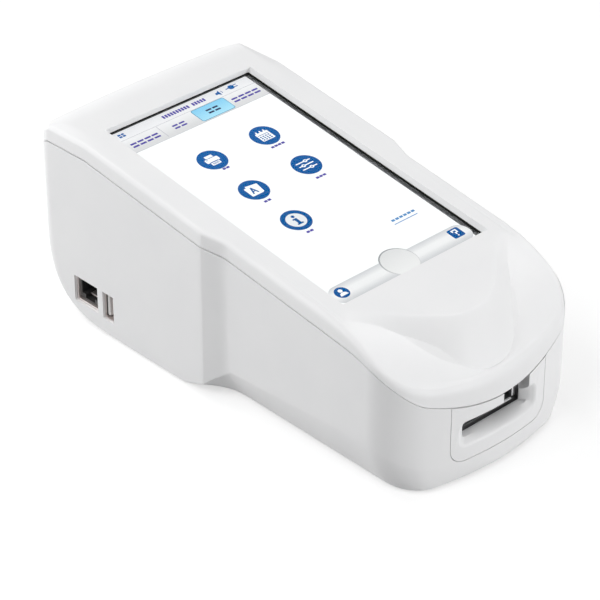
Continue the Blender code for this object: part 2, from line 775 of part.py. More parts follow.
def screw(name, head_radius, head_height, shank_radius, length, place, material, up=True):
    """A pan head screw: place is the underside of its head, and up says which way its shank points."""
    way = 1 if up else -1
    recess = head_height / 2
    profile = [
        (0, -head_height * way + recess * way),
        (head_radius / 2, -head_height * way + recess * way),
        (head_radius / 2, -head_height * way),
        (head_radius * HEAD_FLAT_SHARE, -head_height * way),
        (head_radius, -head_height * way / 2),
        (head_radius, 0),
        (shank_radius, 0),
        (shank_radius, (length - shank_radius) * way),
        (0, length * way),
    ]
    return turned(name, profile, place, "Z", material, 16)


def four_places(front_x, front_y, rear_x, rear_y):
    return {
        "front_left": (-front_x, front_y), "front_right": (front_x, front_y),
        "rear_left": (-rear_x, rear_y), "rear_right": (rear_x, rear_y),
    }


def case_screw_places():
    return four_places(
        BASE_NOSE_WIDTH / 2 - CASE_SCREW_FRONT_INSET, NOSE_Y + CASE_SCREW_FROM_NOSE,
        BASE_REAR_WIDTH / 2 - CASE_SCREW_REAR_INSET, REAR_Y - CASE_SCREW_FROM_REAR,
    )


def foot_places():
    return four_places(
        BASE_NOSE_WIDTH / 2 - FOOT_FRONT_INSET, NOSE_Y + FOOT_FROM_NOSE,
        BASE_REAR_WIDTH / 2 - FOOT_REAR_INSET, REAR_Y - FOOT_FROM_REAR,
    )


def add_case_fixings(cover, shell, steel, rubber):
    tube_top = BASE_Z + CASE_TUBE_TOP_HEIGHT
    head_seat = FLOOR_Z + WALL
    screw_end = tube_top + GAP + CASE_SCREW_GRIP
    for where, (x, y) in case_screw_places().items():
        tube_foot = (x, y, FLOOR_Z - WALL / 2)
        join(shell, rod(f"case tube {where}", CASE_TUBE_RADIUS, tube_foot, (x, y, tube_top)))
        under_top = top_height(x, y - CASE_TUBE_RADIUS) - WALL / 2
        boss_foot = (x, y, tube_top + GAP)
        join(cover, rod(f"case boss {where}", CASE_TUBE_RADIUS, boss_foot, (x, y, under_top)))
        cut(cover, rod(
            f"case pilot {where}", CASE_PILOT_RADIUS, (x, y, tube_top - GAP),
            (x, y, screw_end + CASE_SHANK_RADIUS), sides=12,
        ))
        below = (x, y, BASE_Z - OVERRUN)
        cut(shell, rod(
            f"case head bore {where}", CASE_HEAD_RADIUS + GAP, below, (x, y, head_seat), sides=16
        ))
        cut(shell, rod(
            f"case bore {where}", CASE_PILOT_RADIUS, (x, y, BASE_Z), (x, y, tube_top + OVERRUN), sides=12
        ))
        screw(
            f"case_screw_{where}", CASE_HEAD_RADIUS, SCREW_HEAD_HEIGHT, CASE_SHANK_RADIUS,
            screw_end - head_seat + GAP, (x, y, head_seat - GAP), steel,
        )
    for where, (x, y) in foot_places().items():
        below = (x, y, BASE_Z - OVERRUN)
        cut(shell, rod(f"foot seat {where}", FOOT_RADIUS + GAP, below, (x, y, BASE_Z + FOOT_RECESS)))
        top = BASE_Z + FOOT_RECESS - GAP
        rim = FOOT_PROUD / 2
        turned(
            f"foot_{where}",
            [(0, top), (FOOT_RADIUS, top), (FOOT_RADIUS, rim), (FOOT_RADIUS - rim, 0), (0, 0)],
            (x, y, 0), "Z", rubber,
        )


# The screen stack lies on the tilted plane, in an empty's own frame


def screen_frame():
    frame = bpy.data.objects.new("screen plane", None)
    bpy.context.scene.collection.objects.link(frame)
    frame.location = (0, WINDOW_Y, WINDOW_Z)
    frame.rotation_euler = (SCREEN_TILT, 0, 0)
    return frame


def screen_stack(cover, dark_glass, lcd_grey, steel, screw_steel):
    frame = screen_frame()
    half_x, half_v = WINDOW_WIDTH / 2 + PANEL_MARGIN, WINDOW_LENGTH / 2 + PANEL_MARGIN
    touch_top = -BEZEL_THICKNESS - GAP
    lcd_top = touch_top - TOUCH_THICKNESS - GAP
    lcd_bottom = lcd_top - LCD_THICKNESS
    tray_top = lcd_bottom - GAP
    tray_bottom = tray_top - TRAY_THICKNESS
    touch = block(
        "touch_panel", (-half_x, -half_v, touch_top - TOUCH_THICKNESS), (half_x, half_v, touch_top),
        dark_glass, TOUCH_THICKNESS, True,
    )
    lcd = block(
        "lcd_panel", (-half_x + LCD_INSET, -half_v + LCD_INSET, lcd_bottom),
        (half_x - LCD_INSET, half_v - LCD_INSET, lcd_top), lcd_grey, TRAY_THICKNESS / 2,
    )
    tray = block(
        "lcd_tray", (-half_x + LCD_INSET, -half_v + LCD_INSET, tray_bottom),
        (half_x - LCD_INSET, half_v - LCD_INSET, tray_top), steel,
    )
    pieces = [touch, lcd, tray]
    for end, v in (("front", -TRAY_BOSS_V), ("rear", TRAY_BOSS_V)):
        ear = block(
            f"tray ear {end}",
            (-TRAY_BOSS_X - TRAY_EAR_WIDTH / 2, v - TRAY_EAR_LENGTH / 2, tray_bottom),
            (TRAY_BOSS_X + TRAY_EAR_WIDTH / 2, v + TRAY_EAR_LENGTH / 2, tray_top),
        )
        join(tray, ear)
        pieces.append(ear)
        for side, x in (("left", -TRAY_BOSS_X), ("right", TRAY_BOSS_X)):
            boss = rod(
                f"tray boss {end} {side}", TRAY_BOSS_RADIUS, (x, v, tray_top + GAP),
                (x, v, -BEZEL_THICKNESS / 2), sides=12,
            )
            pilot = rod(
                f"tray pilot {end} {side}", SMALL_PILOT_RADIUS, (x, v, tray_bottom - OVERRUN),
                (x, v, tray_bottom + SMALL_SHANK_LENGTH + SMALL_SHANK_RADIUS), sides=10,
            )
            join(cover, boss)
            cut(cover, pilot)
            cut(tray, pilot)
            fixing = screw(
                f"tray_screw_{end}_{side}", SMALL_HEAD_RADIUS, SCREW_HEAD_HEIGHT, SMALL_SHANK_RADIUS,
                SMALL_SHANK_LENGTH, (x, v, tray_bottom - GAP), screw_steel,
            )
            pieces += [boss, pilot, fixing]
    for piece in pieces:
        piece.parent = frame


# Main board, jacks, button and battery


def board_post_places():
    front, rear = BOARD_FRONT + BOARD_POST_INSET + USB_WIDTH, BOARD_REAR - BOARD_POST_INSET
    return {
        "front_left": (-BOARD_POST_X, front), "front_right": (BOARD_POST_X, front),
        "rear_left": (-BOARD_POST_X / 4, rear), "rear_right": (BOARD_POST_X - BOARD_POST_INSET, rear),
    }


def underside_height(y):
    """The height of the rear's curved underside at y, read from the shell's own curve."""
    out = min(1.0, max(0.0, (y - REAR_FLAT_Y) / REAR_CURVE_LENGTH))
    return BASE_Z + REAR_KNEE_HEIGHT * (1 - (1 - out**REAR_BEND) ** (1 / REAR_BEND))


def rear_wall_y(z, inset=0.0):
    """How far back the rear wall stands at a height, outside or, with an inset, inside."""
    down = max(0.0, (BASE_Z + inset + REAR_KNEE_HEIGHT - z) / REAR_KNEE_HEIGHT)
    run = 1 - (1 - down**REAR_BEND) ** (1 / REAR_BEND)
    rear = REAR_Y - inset - REAR_WALL_BULGE
    return rear - run * (rear - (REAR_FLAT_Y - inset))


def main_board(shell, board_green, steel):
    board = block(
        "main_board", (-BOARD_WIDTH / 2, BOARD_FRONT, BOARD_Z), (BOARD_WIDTH / 2, BOARD_REAR, BOARD_TOP),
        board_green, BOARD_POST_RADIUS, True,
    )
    for where, (x, y) in board_post_places().items():
        foot = underside_height(y + BOARD_POST_RADIUS) + WALL / 2
        join(shell, rod(
            f"board post {where}", BOARD_POST_RADIUS, (x, y, foot), (x, y, BOARD_Z - GAP), sides=14
        ))
        pilot_end = BOARD_TOP - SMALL_SHANK_LENGTH - SMALL_SHANK_RADIUS
        pilot = rod(
            f"board pilot {where}", SMALL_PILOT_RADIUS, (x, y, pilot_end), (x, y, BOARD_TOP + OVERRUN),
            sides=10,
        )
        cut(shell, pilot)
        cut(board, pilot)
        screw(
            f"board_screw_{where}", SMALL_HEAD_RADIUS, SCREW_HEAD_HEIGHT, SMALL_SHANK_RADIUS,
            SMALL_SHANK_LENGTH, (x, y, BOARD_TOP + GAP), steel, up=False,
        )


def side_jacks(shell, jack_steel, tongue_white):
    """The network and USB jacks hang under the board and look out of the left wall."""
    wall_x = -REAR_WIDTH / 2
    face = wall_x + JACK_SETBACK
    top = BOARD_Z - GAP

    def jack(name, y, width, height, depth, rim):
        low, high = (face, y - width / 2, top - height), (face + depth, y + width / 2, top)
        body = block(name, low, high, jack_steel)
        mouth = block(
            f"{name} mouth", (face - OVERRUN, y - width / 2 + rim, top - height + rim),
            (face + depth - 2 * rim, y + width / 2 - rim, top - rim),
        )
        cut(body, mouth)
        hole = block(
            f"{name} hole", (wall_x - OVERRUN, y - width / 2 - GAP, top - height - GAP),
            (face + depth + GAP, y + width / 2 + GAP, top + GAP),
        )
        cut(shell, hole)

    network_y, usb_y = REAR_Y - ETHERNET_FROM_REAR, REAR_Y - USB_FROM_REAR
    jack("ethernet_jack", network_y, ETHERNET_WIDTH, ETHERNET_HEIGHT, ETHERNET_DEPTH, ETHERNET_RIM)
    jack("usb_jack", usb_y, USB_WIDTH, USB_HEIGHT, USB_DEPTH, USB_RIM)
    y = usb_y + USB_WIDTH / 2 - USB_RIM - GAP
    block(
        "usb_tongue",
        (face + USB_RIM, y - USB_TONGUE, top - USB_HEIGHT + 2 * USB_RIM + GAP),
        (face + USB_DEPTH - 2 * USB_RIM - GAP, y, top - 2 * USB_RIM - GAP), tongue_white,
    )


def rear_controls(shell, black_plastic, case_plastic):
    """The power inlet and the power button stand on the board and reach through the rear wall."""
    low = BOARD_TOP + GAP
    face = rear_wall_y(low) - JACK_SETBACK
    inlet = block(
        "power_jack", (POWER_JACK_X - POWER_JACK_WIDTH / 2, face - POWER_JACK_DEPTH, low),
        (POWER_JACK_X + POWER_JACK_WIDTH / 2, face, low + POWER_JACK_HEIGHT), black_plastic, GAP,
    )
    inlet_z = low + POWER_JACK_HEIGHT / 2
    bore_rear = face - POWER_JACK_DEPTH + WALL
    mouth = (POWER_JACK_X, face + OVERRUN, inlet_z)
    cut(inlet, rod("inlet bore", POWER_JACK_BORE, (POWER_JACK_X, bore_rear, inlet_z), mouth))
    join(inlet, rod(
        "inlet pin", POWER_JACK_PIN, (POWER_JACK_X, bore_rear - GAP, inlet_z),
        (POWER_JACK_X, face - POWER_JACK_BORE / 2, inlet_z), sides=12,
    ))
    cut(shell, block(
        "inlet hole", (POWER_JACK_X - POWER_JACK_WIDTH / 2 - GAP, face - POWER_JACK_DEPTH - GAP, low - GAP),
        (POWER_JACK_X + POWER_JACK_WIDTH / 2 + GAP, REAR_Y + OVERRUN, low + POWER_JACK_HEIGHT + GAP),
    ))
    button_z = low + BUTTON_HEIGHT
    cap_face = rear_wall_y(button_z) + BUTTON_PROUD
    flange_face = rear_wall_y(button_z - BUTTON_RADIUS - BUTTON_FLANGE, WALL) - BUTTON_BACKSET
    flange_rear = flange_face - BUTTON_FLANGE
    flange_radius = BUTTON_RADIUS + BUTTON_FLANGE
    profile = [
        (0, flange_rear - cap_face), (flange_radius, flange_rear - cap_face),
        (flange_radius, flange_face - cap_face), (BUTTON_RADIUS, flange_face - cap_face),
        (BUTTON_RADIUS, -BUTTON_FLANGE / 2), (BUTTON_RADIUS - BUTTON_FLANGE / 2, 0), (0, 0),
    ]
    button = turned("power_button", profile, (BUTTON_X, cap_face, button_z), "Y", case_plastic)
    set_origin(button, (BUTTON_X, cap_face, button_z))
    cut(shell, rod(
        "button hole", BUTTON_RADIUS + GAP, (BUTTON_X, flange_rear, button_z),
        (BUTTON_X, REAR_Y + OVERRUN, button_z),
    ))
    plunger_face = flange_rear - BUTTON_TRAVEL - GAP
    block(
        "power_switch",
        (BUTTON_X - SWITCH_SIZE / 2, plunger_face - SWITCH_DEPTH, low),
        (BUTTON_X + SWITCH_SIZE / 2, plunger_face, button_z + SWITCH_SIZE / 2), black_plastic, GAP,
    )


def battery(shell, pack_blue, case_plastic):
    """The battery lies in the floor behind its door, which stands on a ledge of the floor."""
    rear = REAR_Y - BATTERY_FROM_REAR
    front = rear - BATTERY_LENGTH
    half = BATTERY_WIDTH / 2
    block(
        "battery_pack", (-half, front, FLOOR_Z + GAP), (half, rear, FLOOR_Z + GAP + BATTERY_HEIGHT),
        pack_blue, DOOR_THICKNESS,
    )
    door_half = half - DOOR_MARGIN
    door_front, door_rear = front + DOOR_MARGIN, rear - DOOR_MARGIN
    block(
        "battery_door", (-door_half, door_front, BASE_Z), (door_half, door_rear, BASE_Z + DOOR_THICKNESS),
        case_plastic, DOOR_THICKNESS, True,
    )
    recess = block(
        "door recess", (-door_half - GAP, door_front - GAP, BASE_Z - OVERRUN),
        (door_half + GAP, door_rear + GAP, BASE_Z + DOOR_THICKNESS + GAP), None, DOOR_THICKNESS + GAP, True,
    )
    opening = block(
        "door opening", (-door_half + DOOR_TAB, door_front + DOOR_LEDGE, BASE_Z),
        (door_half - DOOR_TAB, door_rear - DOOR_LEDGE, FLOOR_Z + GAP),
    )
    cut(shell, recess, opening)


def speaker(shell, black_plastic):
    y = NOSE_Y + SPEAKER_FROM_NOSE
    magnet = SPEAKER_RADIUS * SPEAKER_MAGNET_SHARE
    profile = [
        (0, 0), (SPEAKER_RADIUS, 0), (SPEAKER_RADIUS, SPEAKER_HEIGHT / 3), (magnet, SPEAKER_HEIGHT / 2),
        (magnet, SPEAKER_HEIGHT), (0, SPEAKER_HEIGHT),
    ]
    turned("speaker", profile, (0, y, FLOOR_Z + GAP), "Z", black_plastic)
    for i in range(GRILLE_COUNT):
        off = (i - (GRILLE_COUNT - 1) / 2) * GRILLE_PITCH
        reach = math.sqrt((SPEAKER_RADIUS * GRILLE_SHARE) ** 2 - off**2)
        cut(shell, block(
            f"grille slot {i}", (-reach, y + off - GRILLE_SLOT / 2, BASE_Z - OVERRUN),
            (reach, y + off + GRILLE_SLOT / 2, FLOOR_Z + GAP / 2),
        ))


# Cartridge bay: chassis, heater, press, contacts and reader


def chassis_ear_places():
    x = CHASSIS_HALF_WIDTH + CHASSIS_EAR / 2
    return four_places(x, CHASSIS_FRONT + CHASSIS_EAR_FROM_FRONT, x, CHASSIS_REAR - CHASSIS_EAR_LENGTH)


def cartridge_chassis(shell, frame_grey, steel):
    low = BAY_FLOOR_Z - CHASSIS_FLOOR
    half = CHASSIS_HALF_WIDTH
    chassis = block(
        "cartridge_chassis", (-half, CHASSIS_FRONT, low), (half, CHASSIS_REAR, BAY_WALL_TOP), frame_grey
    )
    cut(chassis, block(
        "bay channel", (-BAY_HALF_WIDTH, CHASSIS_FRONT - OVERRUN, BAY_FLOOR_Z),
        (BAY_HALF_WIDTH, CHASSIS_REAR - CHASSIS_WALL, BAY_WALL_TOP + OVERRUN),
    ))
    heater_half, heater_reach = HEATER_WIDTH / 2 + GAP, HEATER_LENGTH / 2 + GAP
    cut(chassis, block(
        "heater seat", (-heater_half, BRIDGE_Y - heater_reach, BAY_FLOOR_Z - HEATER_THICKNESS - GAP),
        (heater_half, BRIDGE_Y + heater_reach, BAY_FLOOR_Z + OVERRUN),
    ))
    for where, (x, y) in chassis_ear_places().items():
        inner = math.copysign(half - CHASSIS_WALL / 2, x)
        outer = math.copysign(half + CHASSIS_EAR, x)
        join(chassis, block(
            f"chassis ear {where}", (min(inner, outer), y - CHASSIS_EAR_LENGTH / 2, low),
            (max(inner, outer), y + CHASSIS_EAR_LENGTH / 2, low + CHASSIS_FLOOR),
        ))
        join(shell, rod(
            f"chassis post {where}", CHASSIS_POST_RADIUS, (x, y, BASE_Z + WALL / 2), (x, y, low - GAP),
            sides=14,
        ))
        pilot = rod(
            f"chassis pilot {where}", SMALL_PILOT_RADIUS, (x, y, low - SMALL_SHANK_LENGTH),
            (x, y, BAY_FLOOR_Z + OVERRUN), sides=10,
        )
        cut(shell, pilot)
        cut(chassis, pilot)
        screw(
            f"chassis_screw_{where}", SMALL_HEAD_RADIUS, SCREW_HEAD_HEIGHT, SMALL_SHANK_RADIUS,
            SMALL_SHANK_LENGTH + CHASSIS_FLOOR / 2, (x, y, BAY_FLOOR_Z + GAP), steel, up=False,
        )


def press_bridge(bridge_grey, aluminium):
    """A bridge stands over the bay, and a heater plate lies in the bay's floor under it."""
    half = CHASSIS_HALF_WIDTH
    front, rear = BRIDGE_Y - BRIDGE_LENGTH / 2, BRIDGE_Y + BRIDGE_LENGTH / 2
    foot = BAY_WALL_TOP + GAP
    bridge = block("press_bridge", (-half, front, foot), (half, rear, BRIDGE_TOP), bridge_grey)
    cut(bridge, block(
        "bridge arch", (-BAY_HALF_WIDTH, front - OVERRUN, foot - OVERRUN),
        (BAY_HALF_WIDTH, rear + OVERRUN, BRIDGE_TOP - BRIDGE_THICKNESS),
    ))
    block(
        "heater_plate", (-HEATER_WIDTH / 2, BRIDGE_Y - HEATER_LENGTH / 2, BAY_FLOOR_Z - HEATER_THICKNESS),
        (HEATER_WIDTH / 2, BRIDGE_Y + HEATER_LENGTH / 2, BAY_FLOOR_Z), aluminium,
    )
    return bridge


def press_unit(bridge, steel, brass, head_plastic):
    """A motor on the bridge turns a screw that drives a head down two guide rods."""
    top = BRIDGE_TOP
    head_low = BAY_FLOOR_Z - GAP + SLOT_OPENING + HEAD_REST_CLEARANCE + PLUNGER_LENGTH
    head_high = head_low + HEAD_THICKNESS
    boss_top = head_high + HEAD_THICKNESS
    head = block(
        "press_head", (-HEAD_WIDTH / 2, BRIDGE_Y - HEAD_LENGTH / 2, head_low),
        (HEAD_WIDTH / 2, BRIDGE_Y + HEAD_LENGTH / 2, head_high), head_plastic,
    )
    for i, x in enumerate((-PLUNGER_SPACING / 2, PLUNGER_SPACING / 2)):
        join(head, rod(
            f"plunger {i}", PLUNGER_RADIUS, (x, BRIDGE_Y, head_low - PLUNGER_LENGTH),
            (x, BRIDGE_Y, head_low + GAP), sides=16,
        ))
    join(head, rod("nut boss", NUT_RADIUS, (0, BRIDGE_Y, head_high - GAP), (0, BRIDGE_Y, boss_top), sides=18))
    cut(head, rod(
        "nut bore", SCREW_RADIUS + GAP, (0, BRIDGE_Y, head_low - GAP), (0, BRIDGE_Y, boss_top + OVERRUN),
        sides=18,
    ))
    motor_low = top + GAP
    motor_top = motor_low + MOTOR_HEIGHT
    motor = rod("press_motor", MOTOR_RADIUS, (0, BRIDGE_Y, motor_low), (0, BRIDGE_Y, motor_top), steel, 28)
    join(motor, block(
        "motor flange", (-MOTOR_RADIUS - MOTOR_EAR, BRIDGE_Y - MOTOR_EAR, motor_low),
        (MOTOR_RADIUS + MOTOR_EAR, BRIDGE_Y + MOTOR_EAR, motor_low + 2 * GAP),
    ))
    cut(motor, rod(
        "motor bore", SCREW_RADIUS + GAP, (0, BRIDGE_Y, motor_low - OVERRUN),
        (0, BRIDGE_Y, motor_low + MOTOR_HEIGHT / 2), sides=18,
    ))
    lead_screw = rod(
        "lead_screw", SCREW_RADIUS, (0, BRIDGE_Y, head_low + GAP),
        (0, BRIDGE_Y, motor_low + MOTOR_HEIGHT / 2 - GAP), brass, 18,
    )
    for moving in (head, lead_screw):
        set_origin(moving, (0, BRIDGE_Y, head_low))
    under = top - BRIDGE_THICKNESS - OVERRUN
    cut(bridge, rod(
        "bridge bore", SCREW_RADIUS + GAP, (0, BRIDGE_Y, under), (0, BRIDGE_Y, top + OVERRUN), sides=18
    ))
    for side, x in (("left", -ROD_SPACING / 2), ("right", ROD_SPACING / 2)):
        rod_low = head_low - PLUNGER_LENGTH + GAP
        rod(f"guide_rod_{side}", ROD_RADIUS, (x, BRIDGE_Y, rod_low), (x, BRIDGE_Y, top), steel, 14)
        cut(head, rod(
            f"head bore {side}", ROD_RADIUS + GAP, (x, BRIDGE_Y, rod_low - OVERRUN),
            (x, BRIDGE_Y, head_high + OVERRUN), sides=14,
        ))
        cut(bridge, rod(
            f"rod hole {side}", ROD_RADIUS + GAP, (x, BRIDGE_Y, under), (x, BRIDGE_Y, top + OVERRUN), sides=14
        ))


def contact_unit(black_plastic, board_green):
    """The contact block at the end of the bay carries a row of pins and its own board."""
    half = CHASSIS_HALF_WIDTH
    low = BAY_WALL_TOP + GAP
    front = CHASSIS_REAR - CONTACT_LENGTH
    high = low + CONTACT_HEIGHT
    contact = block("contact_block", (-half, front, low), (half, CHASSIS_REAR, high), black_plastic)
    pin_y = front + 2 * CONTACT_OVERHANG
    for i in range(CONTACT_PIN_COUNT):
        x = (i - (CONTACT_PIN_COUNT - 1) / 2) * CONTACT_PIN_PITCH
        join(contact, rod(
            f"contact pin {i}", CONTACT_PIN_RADIUS, (x, pin_y, low - CONTACT_PIN_LENGTH),
            (x, pin_y, low + CONTACT_PIN_LENGTH), sides=8,
        ))
    block(
        "contact_board", (-half, front - CONTACT_OVERHANG, high + GAP),
        (half, CHASSIS_REAR, high + GAP + BOARD_THICKNESS), board_green,
    )


def code_reader(black_plastic):
    low = BAY_WALL_TOP + GAP
    half = CHASSIS_HALF_WIDTH
    y = NOSE_Y + READER_FROM_NOSE
    reader = block(
        "code_reader", (-half, y - READER_LENGTH / 2, low),
        (half, y + READER_LENGTH / 2, low + READER_HEIGHT / 3), black_plastic,
    )
    join(reader, block(
        "reader head", (-READER_WIDTH / 2, y - READER_LENGTH / 2 + GAP, low + GAP),
        (READER_WIDTH / 2, y + READER_LENGTH / 2 - GAP, low + READER_HEIGHT),
    ))
    cut(reader, block(
        "reader window", (-READER_WINDOW / 2, y - READER_LENGTH / 4, low - OVERRUN),
        (READER_WINDOW / 2, y + READER_LENGTH / 4, low + READER_HEIGHT / 2),
    ))


def cartridge_latch(steel):
    """A sprung lever hangs behind the notch, and a cartridge swings its tip back."""
    pivot_y = NOSE_Y + LATCH_PIVOT_SETBACK
    pivot_z = BASE_Z + LATCH_PIVOT_HEIGHT
    tip_z = BASE_Z + LATCH_TIP_HEIGHT
    half = LATCH_WIDTH / 2

    def across(name, radius, reach, material=None, sides=16):
        low, high = (LATCH_X - reach, pivot_y, pivot_z), (LATCH_X + reach, pivot_y, pivot_z)
        return rod(name, radius, low, high, material, sides)

    latch = across("cartridge_latch", LATCH_HUB_RADIUS, half, steel, 20)
    arm_front = pivot_y - LATCH_HUB_RADIUS + GAP
    join(latch, block(
        "latch arm", (LATCH_X - half, arm_front, tip_z),
        (LATCH_X + half, arm_front + LATCH_THICKNESS, pivot_z),
    ))
    cut(latch, across("latch bore", LATCH_PIN_RADIUS + GAP, LATCH_WIDTH))
    set_origin(latch, (LATCH_X, pivot_y, pivot_z))
    cheek = LATCH_BRACKET_WALL
    outer = half + GAP + cheek
    slot_top = pivot_z + LATCH_HUB_RADIUS + GAP
    bracket = block(
        "latch_bracket",
        (LATCH_X - outer, pivot_y - LATCH_HUB_RADIUS, BAY_WALL_TOP + GAP),
        (CHASSIS_HALF_WIDTH, pivot_y + LATCH_HUB_RADIUS + GAP, slot_top + cheek), steel,
    )
    cut(bracket, block(
        "latch slot", (LATCH_X - half - GAP, pivot_y - LATCH_HUB_RADIUS - OVERRUN, BAY_WALL_TOP - OVERRUN),
        (LATCH_X + half + GAP, pivot_y + LATCH_HUB_RADIUS + OVERRUN, slot_top),
    ))
    cut(bracket, across("latch pin hole", LATCH_PIN_RADIUS + GAP, outer + OVERRUN))
    across("latch_pin", LATCH_PIN_RADIUS, outer, steel)


def build():
    clear_scene()
    case_plastic = finish("case plastic", (0.86, 0.86, 0.87), 0.42)
    dark_glass = finish("screen glass", (0.02, 0.02, 0.022), 0.12)
    lcd_grey = finish("display body", (0.45, 0.46, 0.47), 0.5)
    black_plastic = finish("black plastic", (0.02, 0.02, 0.02), 0.45)
    frame_grey = finish("chassis plastic", (0.18, 0.18, 0.19), 0.5)
    steel = finish("steel", (0.6, 0.6, 0.6), 0.3, 1.0)
    jack_steel = finish("jack steel", (0.55, 0.55, 0.56), 0.28, 1.0)
    brass = finish("brass", (0.75, 0.56, 0.24), 0.3, 1.0)
    aluminium = finish("aluminium", (0.75, 0.75, 0.76), 0.35, 1.0)
    board_green = finish("circuit board", (0.02, 0.16, 0.07), 0.45)
    rubber = finish("foot rubber", (0.03, 0.03, 0.03), 0.8)
    pack_blue = finish("battery wrap", (0.02, 0.1, 0.3), 0.35)
    tongue_white = finish("tongue plastic", (0.8, 0.8, 0.8), 0.4)
    cover = top_cover(case_plastic)
    shell = bottom_shell(case_plastic)
    port_insert(case_plastic)
    cut_port_opening(shell)
    add_case_fixings(cover, shell, steel, rubber)
    screen_stack(cover, dark_glass, lcd_grey, aluminium, steel)
    main_board(shell, board_green, steel)
    side_jacks(shell, jack_steel, tongue_white)
    rear_controls(shell, black_plastic, case_plastic)
    battery(shell, pack_blue, case_plastic)
    speaker(shell, black_plastic)
    cartridge_chassis(shell, frame_grey, steel)
    bridge = press_bridge(frame_grey, aluminium)
    press_unit(bridge, steel, brass, black_plastic)
    contact_unit(black_plastic, board_green)
    code_reader(black_plastic)
    cartridge_latch(steel)


build()
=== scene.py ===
import json
import math

import bmesh
import bpy
from mathutils import Matrix, Vector


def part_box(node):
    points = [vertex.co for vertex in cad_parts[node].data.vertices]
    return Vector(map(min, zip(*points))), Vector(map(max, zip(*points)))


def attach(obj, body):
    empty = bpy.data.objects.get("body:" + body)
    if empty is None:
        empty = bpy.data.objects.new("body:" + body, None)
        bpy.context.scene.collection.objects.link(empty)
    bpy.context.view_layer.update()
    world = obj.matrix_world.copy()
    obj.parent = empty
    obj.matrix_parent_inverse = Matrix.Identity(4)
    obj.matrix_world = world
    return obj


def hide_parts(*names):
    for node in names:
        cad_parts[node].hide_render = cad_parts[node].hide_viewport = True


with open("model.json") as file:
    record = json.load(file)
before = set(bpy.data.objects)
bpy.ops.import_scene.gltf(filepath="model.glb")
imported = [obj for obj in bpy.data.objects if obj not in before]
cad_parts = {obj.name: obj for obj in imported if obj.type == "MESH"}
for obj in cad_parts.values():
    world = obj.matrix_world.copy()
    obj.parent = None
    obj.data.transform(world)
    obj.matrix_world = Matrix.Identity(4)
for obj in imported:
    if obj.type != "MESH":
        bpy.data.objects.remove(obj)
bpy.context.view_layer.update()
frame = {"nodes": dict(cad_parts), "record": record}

print("frame loaded")

mm = 0.001


def mix(a, b, share):
    return a + (b - a) * share


def ease(share):
    return share * share * (3 - 2 * share)


# What a node of the CAD model takes up

def middle(node):
    low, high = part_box(node)
    return (low + high) / 2


# Shaping helpers

def by(x, y, z):
    # a step in millimetres
    return Vector((x * mm, y * mm, z * mm))


def addShape(target, part):
    carrier = bpy.data.meshes.new("carrier")
    part.to_mesh(carrier)
    part.free()
    target.from_mesh(carrier)
    bpy.data.meshes.remove(carrier)
    return target


def roundEdges(shape, edges, offset, steps):
    bmesh.ops.bevel(shape, geom=edges, offset=offset, segments=steps, profile=0.5, affect="EDGES", material=-1)


def levelEdges(shape):
    return [e for e in shape.edges if abs(e.verts[0].co.z - e.verts[1].co.z) < 1e-7]


def softBox(low, high, edge=0.0, steps=2, upright=False):
    # upright rounds the four standing edges only
    shape = bmesh.new()
    bmesh.ops.create_cube(shape, size=1)
    low, high = Vector(low), Vector(high)
    bmesh.ops.scale(shape, vec=high - low, verts=shape.verts)
    bmesh.ops.translate(shape, vec=(low + high) / 2, verts=shape.verts)
    if edge:
        edges = [e for e in shape.edges if not upright or e.verts[0].co.xy == e.verts[1].co.xy]
        roundEdges(shape, edges, edge, steps)
    return shape


def raised(shape, height):
    # flat faces given a thickness
    lift = bmesh.ops.extrude_face_region(shape, geom=list(shape.faces))["geom"]
    verts = [part for part in lift if isinstance(part, bmesh.types.BMVert)]
    bmesh.ops.translate(shape, vec=(0, 0, height), verts=verts)
    bmesh.ops.recalc_face_normals(shape, faces=shape.faces)
    return shape


def roundBar(radius, low, high, axis="Z", sides=32, edge=0.0):
    shape = bmesh.new()
    bmesh.ops.create_circle(shape, cap_ends=True, radius=radius, segments=sides)
    raised(shape, high - low)
    if edge:
        roundEdges(shape, levelEdges(shape), edge, 2)
    turn = {"X": (math.pi / 2, 4, "Y"), "Y": (-math.pi / 2, 4, "X"), "Z": (0, 4, "Z")}
    bmesh.ops.translate(shape, vec=(0, 0, low), verts=shape.verts)
    bmesh.ops.transform(shape, matrix=Matrix.Rotation(*turn[axis]), verts=shape.verts)
    return shape


def turned(profile, sides):
    # profile runs from pole to pole as (radius, height) in millimetres, and is spun round Z
    shape = bmesh.new()
    line = [shape.verts.new((radius * mm, 0, height * mm)) for radius, height in profile]
    for first, second in zip(line[:-1], line[1:]):
        shape.edges.new((first, second))
    bmesh.ops.spin(
        shape, geom=list(shape.verts) + list(shape.edges), cent=(0, 0, 0), axis=(0, 0, 1),
        angle=2 * math.pi, steps=sides, use_merge=True,
    )
    bmesh.ops.remove_doubles(shape, verts=shape.verts, dist=1e-7)
    bmesh.ops.recalc_face_normals(shape, faces=shape.faces)
    return shape


def moved(shape, place, turn=None):
    matrix = Matrix.Translation(place)
    if turn is not None:
        matrix = matrix @ turn
    bmesh.ops.transform(shape, matrix=matrix, verts=shape.verts)
    return shape


